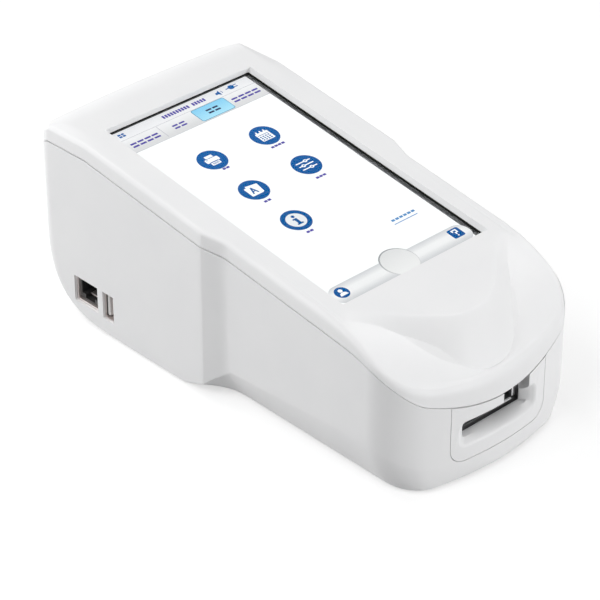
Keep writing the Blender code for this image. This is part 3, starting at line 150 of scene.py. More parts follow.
def gridSkin(lines, closeRows=False):
    # lines hold one column of points each; the last column joins the first, and the rows may too
    lines = [list(line) + ([line[0]] if closeRows else []) for line in lines]
    lines.append(lines[0])
    across, along = len(lines), len(lines[0])
    shape = bmesh.new()
    bmesh.ops.create_grid(shape, x_segments=across - 1, y_segments=along - 1, size=1)
    for vert in shape.verts:
        column = round((vert.co.x + 1) / 2 * (across - 1))
        row = round((vert.co.y + 1) / 2 * (along - 1))
        vert.co = lines[column][row]
    bmesh.ops.remove_doubles(shape, verts=shape.verts, dist=1e-7)
    if not closeRows:
        bmesh.ops.holes_fill(shape, edges=[e for e in shape.edges if e.is_boundary], sides=0)
    bmesh.ops.recalc_face_normals(shape, faces=shape.faces)
    return shape


def plate(points, bottom, top):
    # a flat outline in X and Y given a thickness
    shape = bmesh.new()
    shape.faces.new([shape.verts.new((x, y, bottom)) for x, y in points])
    return raised(shape, top - bottom)


def roundedOutline(halfX, halfY, radius, steps=6):
    points = []
    for quarter, (x, y) in enumerate(((1, 1), (-1, 1), (-1, -1), (1, -1))):
        for i in range(steps + 1):
            angle = math.pi / 2 * (quarter + i / steps)
            points.append((x * (halfX - radius) + radius * math.cos(angle),
                           y * (halfY - radius) + radius * math.sin(angle)))
    return points


def asObject(name, shape):
    mesh = bpy.data.meshes.new(name)
    shape.to_mesh(mesh)
    shape.free()
    made = bpy.data.objects.new(name, mesh)
    bpy.context.scene.collection.objects.link(made)
    return made


def carve(shape, tool, operation="DIFFERENCE"):
    # one exact Boolean of flat triangles, worked out at once, and its tool thrown away
    for part in (shape, tool):
        bmesh.ops.triangulate(part, faces=[face for face in part.faces if len(face.verts) > 3])
    body, cutter = asObject("carved", shape), asObject("cutter", tool)
    step = body.modifiers.new("cut", "BOOLEAN")
    step.operation, step.solver, step.object = operation, "EXACT", cutter
    graph = bpy.context.evaluated_depsgraph_get()
    result = bmesh.new()
    result.from_object(body, graph)
    for used in (body, cutter):
        mesh = used.data
        bpy.data.objects.remove(used)
        bpy.data.meshes.remove(mesh)
    return result


def finished(name, shape, slot, *replaced, material=None, body="case", sharp=32):
    # one piece of the model, with the finish of its slot unless a material is given
    made = asObject(name, shape)
    made.data.materials.append(material or slots[slot])
    made.data.shade_smooth()
    made.data.set_sharp_from_angle(angle=math.radians(sharp))
    evened = made.modifiers.new("evened shading", "WEIGHTED_NORMAL")  # flat faces stay flat beside small bevels
    evened.keep_sharp = True
    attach(made, body)
    if replaced:
        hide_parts(*replaced)


# Nodes, and the shared effects, each built once as a node group

def feed(tree, node, inputs):
    for key, value in inputs.items():
        if isinstance(value, bpy.types.NodeSocket):
            tree.links.new(value, node.inputs[key])
        else:
            node.inputs[key].default_value = value


def addNode(tree, kind, inputs=None, **settings):
    made = tree.nodes.new("ShaderNode" + kind)
    for key, value in settings.items():
        setattr(made, key, value)
    feed(tree, made, inputs or {})
    return made.outputs


def maths(tree, operation, *values, clamp=False):
    return addNode(tree, "Math", dict(enumerate(values)), operation=operation, use_clamp=clamp)[0]


def noise(tree, place, scale, detail=2.0):
    return addNode(tree, "TexNoise", {"Vector": place, "Scale": scale, "Detail": detail})[0]


def ranged(tree, value, low, high, fromLow=0.3, fromHigh=0.7):
    limits = {"From Min": fromLow, "From Max": fromHigh, "To Min": low, "To Max": high}
    return addNode(tree, "MapRange", {"Value": value, **limits})[0]


def mixColour(tree, share, first, second):
    first, second = ((*colour, 1) if isinstance(colour, tuple) else colour for colour in (first, second))
    return addNode(tree, "Mix", {0: share, 6: first, 7: second}, data_type="RGBA")[2]


def dimmed(tree, colour, level):
    return addNode(tree, "VectorMath", {0: colour, "Scale": level}, operation="SCALE")[0]


def bumped(tree, height, depth, strength=1.0):
    return addNode(tree, "Bump", {"Height": height, "Distance": depth * mm, "Strength": strength})[0]


def newGroup(name, outputs, **inputs):
    # the first input is the place; the kind of each other one follows from its start value
    tree = bpy.data.node_groups.new(name, "ShaderNodeTree")
    tree.interface.new_socket("Vector", in_out="INPUT", socket_type="NodeSocketVector")
    for label, value in inputs.items():
        kind = "Float" if isinstance(value, float) else {3: "Vector", 4: "Color"}[len(value)]
        socket = tree.interface.new_socket(label, in_out="INPUT", socket_type="NodeSocket" + kind)
        socket.default_value = value
    for label in outputs:
        kind = "Color" if label == "Colour" else "Float"
        tree.interface.new_socket(label, in_out="OUTPUT", socket_type="NodeSocket" + kind)
    return tree, tree.nodes.new("NodeGroupInput").outputs, tree.nodes.new("NodeGroupOutput")


def grainGroup():
    # the fine eroded texture of a moulded or blasted surface, with a slow waviness under it
    tree, given, result = newGroup("surfaceGrain", ["Height", "Patch"], Size=0.3, Waviness=0.3)
    perMetre = maths(tree, "DIVIDE", 1 / mm, given["Size"])
    pits = addNode(tree, "TexVoronoi", {"Vector": given["Vector"], "Scale": perMetre})["Distance"]
    pitted = maths(tree, "MULTIPLY", noise(tree, given["Vector"], perMetre), pits)
    coarse = noise(tree, given["Vector"], 38.0, 3.0)
    height = maths(tree, "MULTIPLY_ADD", coarse, given["Waviness"], pitted)
    feed(tree, result, {"Height": height, "Patch": coarse})
    return tree


def wearGroup():
    # a mask of the outer edges, broken up so that it looks handled
    tree, given, result = newGroup("edgeWear", ["Mask"], Amount=0.5, Breakup=400.0)
    edges = ranged(tree, addNode(tree, "NewGeometry")["Pointiness"], 0.0, 1.0, 0.53, 0.62)
    patchy = ranged(tree, noise(tree, given["Vector"], given["Breakup"], 4.0), 0.15, 1.0, 0.4, 0.7)
    mask = maths(tree, "MULTIPLY", edges, patchy)
    feed(tree, result, {"Mask": maths(tree, "MULTIPLY", mask, given["Amount"], clamp=True)})
    return tree


def dustGroup():
    # dust that settles on what faces up, and grime in the hollows
    tree, given, result = newGroup("dust", ["Mask", "Grime"], Amount=0.1)
    geometry = addNode(tree, "NewGeometry")
    upward = ranged(tree, addNode(tree, "SeparateXYZ", {0: geometry["Normal"]})["Z"], 0.0, 1.0, 0.3, 1.0)
    specks = ranged(tree, noise(tree, given["Vector"], 900.0, 5.0), 0.0, 1.0, 0.58, 0.75)
    settled = maths(tree, "MULTIPLY", upward, specks)
    hollows = ranged(tree, geometry["Pointiness"], 1.0, 0.0, 0.40, 0.48)
    for label, mask in (("Mask", settled), ("Grime", hollows)):
        feed(tree, result, {label: maths(tree, "MULTIPLY", mask, given["Amount"], clamp=True)})
    return tree


def brushGroup():
    # lines drawn along one axis by a brush, a roller or a lathe tool
    tree, given, result = newGroup("brushedLines", ["Lines"], Stretch=(1.0, 20.0, 20.0), Scale=300.0)
    drawn = addNode(tree, "VectorMath", {0: given["Vector"], 1: given["Stretch"]}, operation="MULTIPLY")[0]
    feed(tree, result, {"Lines": noise(tree, drawn, given["Scale"], 3.0)})
    return tree


def glowGroup():
    # a lit panel: one colour running into another, fine rows of dots and a backlight that drifts a little
    white = (1, 1, 1, 1)
    tree, given, result = newGroup("panelGlow", ["Colour"], Colour=white, Edge=white, Blend=0.0)
    mixed = mixColour(tree, given["Blend"], given["Colour"], given["Edge"])
    rows = addNode(tree, "TexWave", {"Vector": given["Vector"], "Scale": 3000.0}, bands_direction="X")["Fac"]
    level = maths(tree, "MULTIPLY_ADD", rows, 0.012, 0.985)
    drift = maths(tree, "MULTIPLY_ADD", noise(tree, given["Vector"], 9.0, 1.0), 0.02, level)
    feed(tree, result, {"Colour": dimmed(tree, mixed, drift)})
    return tree


grain, wear, dust, brush, glow = grainGroup(), wearGroup(), dustGroup(), brushGroup(), glowGroup()


def useGroup(tree, group, place, **values):
    return addNode(tree, "Group", {"Vector": place, **values}, node_tree=group)


def startMaterial(name):
    material = bpy.data.materials.new(name)
    material.use_nodes = True
    tree = material.node_tree
    return material, tree, tree.nodes["Principled BSDF"], addNode(tree, "TexCoord")["Object"]


def plastic(name, colour, other, rough=(0.38, 0.5), grainSize=0.3, bumpDepth=0.02, worn=(0.5, 0.5, 0.5),
            wearAmount=0.25, dusty=0.05, grimy=(0.3, 0.29, 0.27), specular=0.5):
    # moulded plastic: eroded grain, cloudy colour, edges rubbed smooth, a little dust
    material, tree, shader, place = startMaterial(name)
    skin = useGroup(tree, grain, place, Size=grainSize)
    edge = useGroup(tree, wear, place, Amount=wearAmount)["Mask"]
    settled = useGroup(tree, dust, place, Amount=dusty)
    cloudy = mixColour(tree, ranged(tree, skin["Patch"], 0, 1), colour, other)
    rubbed = mixColour(tree, edge, mixColour(tree, settled["Grime"], cloudy, grimy), worn)
    feed(tree, shader, {
        "Base Color": mixColour(tree, settled["Mask"], rubbed, (0.55, 0.53, 0.5)),  # the dust's own colour
        "Roughness": maths(tree, "MULTIPLY_ADD", edge, -0.12, ranged(tree, skin["Patch"], *rough)),
        "Normal": bumped(tree, skin["Height"], bumpDepth), "Specular IOR Level": specular,
    })
    return material


def metal(name, colour, other, rough=(0.22, 0.36), stretch=(1.0, 20.0, 20.0), worn=(0.8, 0.8, 0.8)):
    # drawn or turned metal: fine lines, patchy tarnish, brighter edges
    material, tree, shader, place = startMaterial(name)
    lines = useGroup(tree, brush, place, Stretch=stretch)["Lines"]
    patch = useGroup(tree, grain, place, Size=0.6)["Patch"]
    edge = useGroup(tree, wear, place, Amount=0.5)["Mask"]
    tarnished = mixColour(tree, ranged(tree, patch, 0, 1), colour, other)
    feed(tree, shader, {
        "Base Color": mixColour(tree, edge, tarnished, worn), "Roughness": ranged(tree, lines, *rough),
        "Metallic": 1.0, "Normal": bumped(tree, lines, 0.006),
    })
    return material


def screenGlassMaterial():
    # clear cover glass with faint wipe marks
    material, tree, shader, place = startMaterial("screenGlass")
    patch = useGroup(tree, grain, place, Size=4.0, Waviness=1.0)["Patch"]
    feed(tree, shader, {
        "Base Color": mixColour(tree, ranged(tree, patch, 0, 1), (0.97, 0.985, 0.98), (0.99, 1, 0.995)),
        "Roughness": ranged(tree, patch, 0.01, 0.035), "Normal": bumped(tree, patch, 0.01, 0.2),
        "Transmission Weight": 1.0, "IOR": 1.13,  # a coated panel mirrors little
    })
    return material


def litMaterial(name, colour, edge=None, blendFrom=0.0, blendTo=1.0, centre=None):
    # a colour shown by the display; it can run into the edge colour along the screen, or from a centre both ways
    material, tree, shader, place = startMaterial(name)
    share = 0.0
    if edge:
        along = addNode(tree, "SeparateXYZ", {0: place})["Y"]
        if centre is not None:
            along = maths(tree, "ABSOLUTE", maths(tree, "SUBTRACT", along, centre))
        share = ranged(tree, along, 0.0, 1.0, blendFrom, blendTo)
    first, last = ((*screenColour(shade), 1) for shade in (colour, edge or colour))
    lit = useGroup(tree, glow, place, Colour=first, Edge=last, Blend=share)["Colour"]
    feed(tree, shader, {
        "Emission Color": lit, "Emission Strength": 1.0, "Base Color": dimmed(tree, lit, 0.05),
        "Roughness": ranged(tree, noise(tree, place, 200.0), 0.3, 0.4),
        "Specular IOR Level": 0.0,  # the glass above does the mirroring
    })
    return material


def boardMaterial():
    # solder mask, lighter over its traces
    material, tree, shader, place = startMaterial("circuitBoard")
    traces = addNode(tree, "TexBrick", {
        "Vector": place, "Color1": (0.012, 0.11, 0.05, 1), "Color2": (0.02, 0.17, 0.08, 1),
        "Mortar": (0.03, 0.26, 0.12, 1), "Scale": 240.0, "Mortar Size": 0.012})
    patch = useGroup(tree, grain, place, Size=0.5)["Patch"]
    feed(tree, shader, {
        "Base Color": mixColour(tree, ranged(tree, patch, 0, 0.5), traces["Color"], (0.01, 0.09, 0.045)),
        "Roughness": ranged(tree, patch, 0.3, 0.5), "Normal": bumped(tree, traces["Fac"], 0.03, 0.6),
    })
    return material


slots = {
    "case_plastic": plastic(
        "casePlastic", (0.865, 0.867, 0.872), (0.845, 0.848, 0.856), rough=(0.36, 0.46), grainSize=0.28,
        bumpDepth=0.012, worn=(0.89, 0.89, 0.89), wearAmount=0.3, dusty=0.03, grimy=(0.6, 0.59, 0.57)),
    "screen_glass": screenGlassMaterial(),
    "display_body": plastic("displayBody", (0.4, 0.41, 0.42), (0.36, 0.37, 0.385), rough=(0.3, 0.45)),
    "black_plastic": plastic(
        "blackPlastic", (0.018, 0.018, 0.019), (0.026, 0.026, 0.027), rough=(0.36, 0.5),
        worn=(0.07, 0.07, 0.07), grimy=(0.05, 0.048, 0.045)),
    "chassis_plastic": plastic(
        "chassisPlastic", (0.16, 0.162, 0.168), (0.19, 0.19, 0.198), rough=(0.42, 0.56),
        worn=(0.27, 0.27, 0.27), grimy=(0.1, 0.1, 0.1)),
    "steel": metal("steel", (0.62, 0.62, 0.63), (0.52, 0.52, 0.53)),
    "jack_steel": metal(
        "jackSteel", (0.86, 0.79, 0.77), (0.76, 0.69, 0.67), rough=(0.35, 0.5), worn=(0.9, 0.86, 0.84)),
    "brass": metal(
        "brass", (0.76, 0.57, 0.25), (0.66, 0.46, 0.2), stretch=(20.0, 20.0, 1.0), worn=(0.9, 0.75, 0.45)),
    "aluminium": metal(
        "aluminium", (0.76, 0.76, 0.77), (0.68, 0.68, 0.69), rough=(0.3, 0.45), stretch=(20.0, 1.0, 20.0)),
    "circuit_board": boardMaterial(),
    "foot_rubber": plastic(
        "footRubber", (0.028, 0.028, 0.028), (0.04, 0.039, 0.038), rough=(0.7, 0.85), grainSize=0.45, bumpDepth=0.03,
        worn=(0.09, 0.09, 0.085), dusty=0.3, grimy=(0.08, 0.075, 0.07)),
    "battery_wrap": plastic(
        "batteryWrap", (0.02, 0.1, 0.3), (0.03, 0.13, 0.36), rough=(0.2, 0.34),
        worn=(0.1, 0.2, 0.4), grimy=(0.03, 0.06, 0.12)),
    "tongue_plastic": plastic(
        "tonguePlastic", (0.78, 0.775, 0.77), (0.73, 0.725, 0.72), rough=(0.3, 0.42), grainSize=0.2,
        worn=(0.85, 0.85, 0.85), grimy=(0.4, 0.38, 0.36)),
}
print("materials ready")

# The case's form: its plan and its heights, column by column

def inMm(**sizes):
    return {name: size * mm for name, size in sizes.items()}


form = inMm(
    noseY=-121.1, rearY=121.1, baseZ=1.2, wall=2.4, seamGap=0.5, gap=0.3,
    rearHalf=60.5, noseHalf=57.0, baseRearHalf=60.1, baseNoseHalf=47.2, baseNoseY=-119.8, baseRearY=73.4,
    noseBulge=150, noseCorner=22.4, baseCorner=15, rearBulge=900, rearCorner=10, baseRearCorner=12,
    waistFrontY=-9.0, waistRearY=5.5, baseWaistFrontY=-11.1, baseWaistRearY=20.9,
    windowY=9.9, windowZ=87.2, windowHalf=44.5, windowReach=77.24, bezel=2.4,
    seamDepth=8, noseRoll=23.7, noseRollLength=53, seamDrop=24.6, seamDropLength=45,
    rearRoll=10.5, rearCrown=1.9, rearRollLength=26.5, bandDraft=0.4, lip=0.3,
)
tilt = math.radians(8)
# per part of the half plan: nose, nose corner, front side, waist, rear side, rear corner, rear
planSteps = {
    "nose": 10, "corner": 16,
    "side": (0.064, 0.129, 0.193, 0.31, 0.43, 0.56, 0.70, 0.85),
    "waist": (0.0, 0.12, 0.24, 0.36, 0.48, 0.60, 0.72, 0.84, 0.95, 1.0),
    "rearSide": (0.018, 0.06, 0.25, 0.5, 0.75), "rearCorner": 10, "rear": 6,
}
tongueArm = 2.193  # where along the plan the tongue's edge turns into the screen's side
kneeHeights = [height * mm for height in (2, 12, 24, 18, 5.5, 48, 48, 48)]
kneeBends = (2.0, 1.25, 1.6, 1.25, 1.1, 3.2, 3.2, 3.2)
topFillets = [radius * mm for radius in (3.2, 3.2, 3.0, 2.4, 2.4, 2.4, 4.6, 4.6)]


def cornerArc(half, reach, bulge, corner, steps, cornerSteps):
    # a quarter of the plan: a shallow end arc blended into a straight side by a corner arc
    cornerX = half - corner
    centreIn = bulge - math.sqrt((bulge - corner) ** 2 - cornerX ** 2)
    start = math.atan2(cornerX, bulge - centreIn)
    points = [(bulge * math.sin(start * i / steps), bulge * (1 - math.cos(start * i / steps))) for i in range(steps)]
    for i in range(cornerSteps + 1):
        angle = mix(start, math.pi / 2, i / cornerSteps)
        points.append((cornerX + corner * math.sin(angle), centreIn - corner * math.cos(angle)))
    return [(x, y + reach) for x, y in points]


def halfPlan(frontHalf, rearHalf, noseY, rearY, noseCorner, rearCorner, waistFront, waistRear, waistCurve, inset):
    # the +X half of an outline from the nose to the rear: (x, y, station), one station per part
    steps = planSteps
    nose = cornerArc(frontHalf - inset, inset, form["noseBulge"] - inset, noseCorner - inset,
                     steps["nose"], steps["corner"])
    rear = cornerArc(rearHalf - inset, inset, form["rearBulge"] - inset, rearCorner - inset,
                     steps["rear"], steps["rearCorner"])
    points = []
    for i, (x, y) in enumerate(nose):
        station = i / steps["nose"] if i < steps["nose"] else 1 + (i - steps["nose"]) / steps["corner"]
        points.append((x, noseY + y, station))
    sideX, sideY = points[-1][:2]
    points += [(sideX, mix(sideY, waistFront, share), 2 + share) for share in steps["side"]]
    for share in steps["waist"]:
        x = mix(frontHalf, rearHalf, waistCurve(share)) - inset
        points.append((x, mix(waistFront, waistRear, share), 3 + share))
    rearPoints = [(x, rearY - y) for x, y in rear][::-1]
    points += [(rearHalf - inset, mix(waistRear, rearPoints[0][1], share), 4 + share) for share in steps["rearSide"]]
    for i, (x, y) in enumerate(rearPoints):
        past = i - steps["rearCorner"]
        points.append((x, y, 5 + i / steps["rearCorner"] if past < 0 else 6 + past / steps["rear"]))
    return points


def waistFacet(share, soft=0.36):
    # a flat facet with a crisp rear edge, which runs out softly to the front
    full = 1 - soft / 2
    return share ** 2 / (2 * soft * full) if share < soft else (share - soft / 2) / full


def waistUndercut(share):
    # the base draws in later than the side above it
    return ease(share ** 1.5)


def seamPlan(inset=0.0):
    return halfPlan(
        form["noseHalf"], form["rearHalf"], form["noseY"], form["rearY"], form["noseCorner"], form["rearCorner"],
        form["waistFrontY"], form["waistRearY"], waistFacet, inset,
    )


def basePlan(inset=0.0):
    return halfPlan(
        form["baseNoseHalf"], form["baseRearHalf"], form["baseNoseY"], form["baseRearY"], form["baseCorner"],
        form["baseRearCorner"], form["baseWaistFrontY"], form["baseWaistRearY"], waistUndercut, inset,
    )


def atStation(values, station):
    low = min(int(station), len(values) - 2)
    return mix(values[low], values[low + 1], station - low)


def mirroredLines(lines):
    return lines + [[(-x, y, z) for x, y, z in line] for line in lines[-2:0:-1]]


def planeHeight(y):
    return form["windowZ"] + (y - form["windowY"]) * math.tan(tilt)


def rearFall(x, y):
    into = max(0.0, y - (form["rearY"] - form["rearRollLength"])) / form["rearRollLength"]
    return (form["rearRoll"] + form["rearCrown"] * (x / form["rearHalf"]) ** 2) * into ** 2


def noseFall(y):
    into = max(0.0, form["noseY"] + form["noseRollLength"] - y) / form["noseRollLength"]
    return form["noseRoll"] * into ** 2


def topHeight(x, y):
    return planeHeight(y) - noseFall(y) - rearFall(x, y)


def seamHeight(x, y):
    into = max(0.0, form["noseY"] + form["seamDropLength"] - y) / form["seamDropLength"]
    return planeHeight(y) - form["seamDepth"] - form["seamDrop"] * into ** 3 - rearFall(x, y)


# Top cover: the flat screen plane, the tongue, the valley round it and the nose rolling down

topCover = {
    "tongueEdge": ((0, 19.0), (15.0, 17.0), (29.0, 35.0), (47.0, 51.0)),  # (x, from the nose), mm
    "crease": ((0, 5.0), (24.0, 4.0), (31.0, 36.0), (52.0, 46.0)),
    "tongueShare": 0.72, "creaseShare": 0.42, "valleyEase": 0.45, "creaseDepth": 1.3 * mm,
    "valleySteps": 9, "crescentSteps": 6, "filletSteps": 6, "edgeRound": 0.5 * mm, "underLip": 1.5 * mm,
    "windowSlopeX": 1.1 * mm, "windowSlopeY": 0.15 * mm, "windowLip": 0.35 * mm,
    "tightTo": -118 * mm, "looseOver": 40 * mm, "tight": 0.7, "loose": 1.6,
    "deeper": (1, 1, 0.55, 0, 0),  # how much of the crease's depth each part of the plan has
}
lipRound = ((0.0, 1.0), (0.1, 0.35), (0.35, 0.1), (1.0, 0.0))  # a rounded lip: inwards, and away from the seam


def curveAt(points, share):
    rest = 1 - share
    weights = (rest ** 3, 3 * rest ** 2 * share, 3 * rest * share ** 2, share ** 3)
    x, y = (sum(weight * point[i] for weight, point in zip(weights, points)) for i in range(2))
    return Vector((x * mm, form["noseY"] + y * mm))


def curveShare(station):
    # how far along the tongue's edge a column stands: nose, corner, then a short piece of the side
    return atStation((0, 0.375, 0.9375, 0.9375 + 0.0625 / (tongueArm - 2)), station)


def windowPoint(tongue):
    x, v = tongue.x, tongue.y - form["windowY"]
    scale = min(form["windowHalf"] / max(abs(x), form["gap"]), form["windowReach"] / max(abs(v), form["gap"]))
    return Vector((x * scale, v * scale))


def topCoverColumns():
    columns = []
    for x, y, station in seamPlan():
        edge = Vector((x, y))
        if station <= tongueArm + 1e-6:
            share = curveShare(station)
            tongue, crease = curveAt(topCover["tongueEdge"], share), curveAt(topCover["crease"], share)
        else:
            rim = windowPoint(edge) + Vector((0, form["windowY"]))
            tongue, crease = edge.lerp(rim, topCover["tongueShare"]), edge.lerp(rim, topCover["creaseShare"])
        columns.append([windowPoint(tongue), tongue, crease, edge, station])
    for side in (-1, 1):
        corner = Vector((form["windowHalf"], side * form["windowReach"]))
        nearest = min(columns, key=lambda column: (column[0] - corner).length)
        nearest[0] = corner
    return columns


def seamOpening(y):
    # the joint is tight round the nose and opens a little along the sides
    share = min(1.0, max(0.0, (y - topCover["tightTo"]) / topCover["looseOver"]))
    return mix(topCover["tight"], topCover["loose"], ease(share))


def topCoverLine(column, innerEdge):
    sizes = topCover
    window, tongue, crease, edge, station = column
    inward = (Vector(innerEdge[:2]) - edge) / form["wall"]
    fillet = atStation(topFillets, station)
    seam = seamHeight(*edge) + form["seamGap"] / 2 * seamOpening(edge.y)
    wallTop = topHeight(*edge) - fillet
    lip, windowLip = form["lip"], sizes["windowLip"]
    line = []

    def add(x, y, z):
        line.append((x, y, z))

    # the window's wall, from its foot to its rounded lip
    foot = Vector((
        math.copysign(min(abs(window.x), form["windowHalf"] - sizes["windowSlopeX"]), window.x),
        math.copysign(min(abs(window.y), form["windowReach"] - sizes["windowSlopeY"]), window.y) + form["windowY"],
    ))
    rim = window + Vector((0, form["windowY"]))
    out = (tongue - rim).normalized()
    add(*foot, planeHeight(foot.y) - form["bezel"])
    for along, down in ((0.0, 1.0), (0.12, 0.45), (0.45, 0.1), (1.0, 0.0)):
        spot = rim + out * windowLip * along
        add(*spot, planeHeight(spot.y) - windowLip * down)
    # the flat plane and the tongue's edge
    soft = min(sizes["edgeRound"], (tongue - rim).length / 3)
    outer = (crease - tongue).normalized()
    spot = tongue - outer * soft
    add(*spot, planeHeight(spot.y) - rearFall(*spot))
    deeper = sizes["creaseDepth"] * atStation(sizes["deeper"], min(station, 3))
    creaseFall = noseFall(crease.y) + deeper

    def valleyHeight(spot, share):
        drop = creaseFall * (sizes["valleyEase"] * share + (1 - sizes["valleyEase"]) * share ** 2)
        return planeHeight(spot.y) - drop - rearFall(*spot)

    reach = (crease - tongue).length
    for k in range(sizes["valleySteps"] + 1):
        share = mix(min(0.3, soft / reach), 1.0, k / sizes["valleySteps"])
        spot = tongue.lerp(crease, share)
        add(*spot, valleyHeight(spot, share))
    # the crescent between the crease and the outer edge
    start = edge + inward * (form["bandDraft"] + fillet)
    for k in range(1, sizes["crescentSteps"]):
        share = k / sizes["crescentSteps"]
        spot = crease.lerp(start, share)
        add(*spot, topHeight(*spot) - deeper * (1 - share) ** 2)
    for k in range(sizes["filletSteps"] + 1):
        turn = math.pi / 2 * (1 - k / sizes["filletSteps"])
        spot = edge + inward * (form["bandDraft"] + fillet * (1 - math.cos(turn)))
        add(*spot, mix(wallTop, topHeight(*start), math.sin(turn)))
    # the band, the seam's rounded lip and the inner side
    spot = edge + inward * form["bandDraft"] * 0.1
    add(*spot, mix(seam, wallTop, 0.12) + lip * 0.3)
    for along, up in lipRound:
        add(*(edge + inward * lip * along), seam + lip * up)
    add(*(edge + inward * form["wall"]), seam)
    add(*(edge + inward * (form["wall"] + form["bandDraft"])), (seam + wallTop) / 2)
    shoulder = edge + inward * 2 * form["wall"]
    innerCrease = crease.lerp(shoulder, 0.3)
    add(*shoulder, topHeight(*shoulder) - fillet)
    add(*innerCrease, topHeight(*innerCrease) - form["wall"])
    add(*tongue, planeHeight(tongue.y) - rearFall(*tongue) - form["bezel"])
    wide = rim + out * min(sizes["underLip"], (tongue - rim).length / 2)
    add(*wide, planeHeight(wide.y) - form["bezel"])
    return line


coverInner = seamPlan(form["wall"])
coverLines = [topCoverLine(column, inner) for column, inner in zip(topCoverColumns(), coverInner)]
coverShape = gridSkin(mirroredLines(coverLines), closeRows=True)
print("top cover shaped")

# Bottom shell

shell = {
    "downShares": (0, 0.09, 0.18, 0.27, 0.36, 0.45, 0.54, 0.62, 0.70, 0.77, 0.83, 0.88, 0.93, 0.96, 0.985, 1.0),
    "innerShares": (0, 0.18, 0.36, 0.54, 0.70, 0.83, 0.93, 0.985, 1.0),
    "coreInset": 12.2 * mm, "coreHeight": 31 * mm,
}


def sideHeights(inset, floor, shares):
    # rows of the wall under the seam, for each column: it turns under from its knee to the base
    top, base, lines = seamPlan(inset), basePlan(inset), []
    baseZ = form["baseZ"] + floor
    for (x, y, station), (baseX, baseY, _) in zip(top, base):
        knee, bend = baseZ + atStation(kneeHeights, station), atStation(kneeBends, station)
        line = []
        for share in shares:
            run = 1 - (1 - share ** bend) ** (1 / bend)
            line.append((mix(x, baseX, run), mix(y, baseY, run), mix(knee, baseZ, share)))
        lines.append(line)
    return lines


def seamRim(gap, lip=0.0):
    # the rim under the seam for each column, from the wall in: rounded where lip is given
    lines = []
    for (x, y, station), inner in zip(seamPlan(), seamPlan(form["wall"])):
        edge = Vector((x, y))
        inward = (Vector(inner[:2]) - edge) / form["wall"]
        seam = seamHeight(*edge) - gap * seamOpening(edge.y)
        line = []
        for along, down in lipRound[::-1] if lip else ((0.0, 0.0),):
            spot = edge + inward * lip * along
            line.append((*spot, seam - lip * down))
        lines.append(line)
    return lines


def shellShape():
    outer = sideHeights(0.0, 0.0, shell["downShares"])
    inner = sideHeights(form["wall"], form["wall"], shell["innerShares"])
    rims = seamRim(form["seamGap"] / 2, form["lip"])
    insideTop = [(x, y) for x, y, _ in seamPlan(form["wall"])]
    lines = []
    for outside, inside, rim, (x, y) in zip(outer, inner, rims, insideTop):
        seam = rim[0][2]
        lines.append(outside[::-1] + rim[::-1] + [(x, y, seam)] + inside)
    return gridSkin(mirroredLines(lines))


def caseForm(gap):
    # the outer form under the seam as one solid
    outer = sideHeights(0.0, 0.0, shell["downShares"])
    rims = seamRim(gap)
    inner = seamPlan(shell["coreInset"])
    lines = []
    for outside, rim, (x, y, _) in zip(outer, rims, inner):
        core = [(x, y, rim[0][2]), (x / 2, y / 2, form["baseZ"] + shell["coreHeight"])]
        lines.append(outside[::-1] + [rim[0]] + core)
    return gridSkin(mirroredLines(lines))


port = inMm(
    half=29.3, low=11.0, corner=7.5, depth=9.2, beyond=3, edge=0.4, sky=90,
    slotLeft=-19.3, slotRight=17.5, slotLow=21.3, slotHigh=27.2, slotY=-114.3, slotCorner=0.5, slotLap=1,
    scoopLeft=-24.4, scoopRight=22.2, scoopLow=18.4, scoopHigh=30.7, scoopCorner=3.6, mouth=1.4, sillDrop=0.35,
    notchLeft=0.2, notchRight=17.3, notchLow=24.4, ribRight=5.1, ribTop=31.5, ribRear=-119.9, ribLap=2,
    pocketFront=-113.8, pocketMargin=2.2, pocketHigh=40.0,
)
scoop = {
    "sillShare": 0.58,  # how far in the scoop's floor has risen to the slot's floor
    "cornerSteps": 8, "runParts": 12, "flare": 1.4, "lead": 0.3, "mouthAngles": (65, 50, 35, 20, 0),
}


def portBlock(grow, front, rear):
    # the insert's outline seen from the front, its lower corners round
    half, low, corner = port["half"] + grow, port["low"] - grow, port["corner"] + grow
    shape = softBox((-half, front, low), (half, rear, form["windowZ"]))
    lowEdges = [e for e in levelEdges(shape) if e.verts[0].co.z < low + 1e-6]
    roundEdges(shape, [e for e in lowEdges if e.verts[0].co.x == e.verts[1].co.x], corner, 14)
    return shape


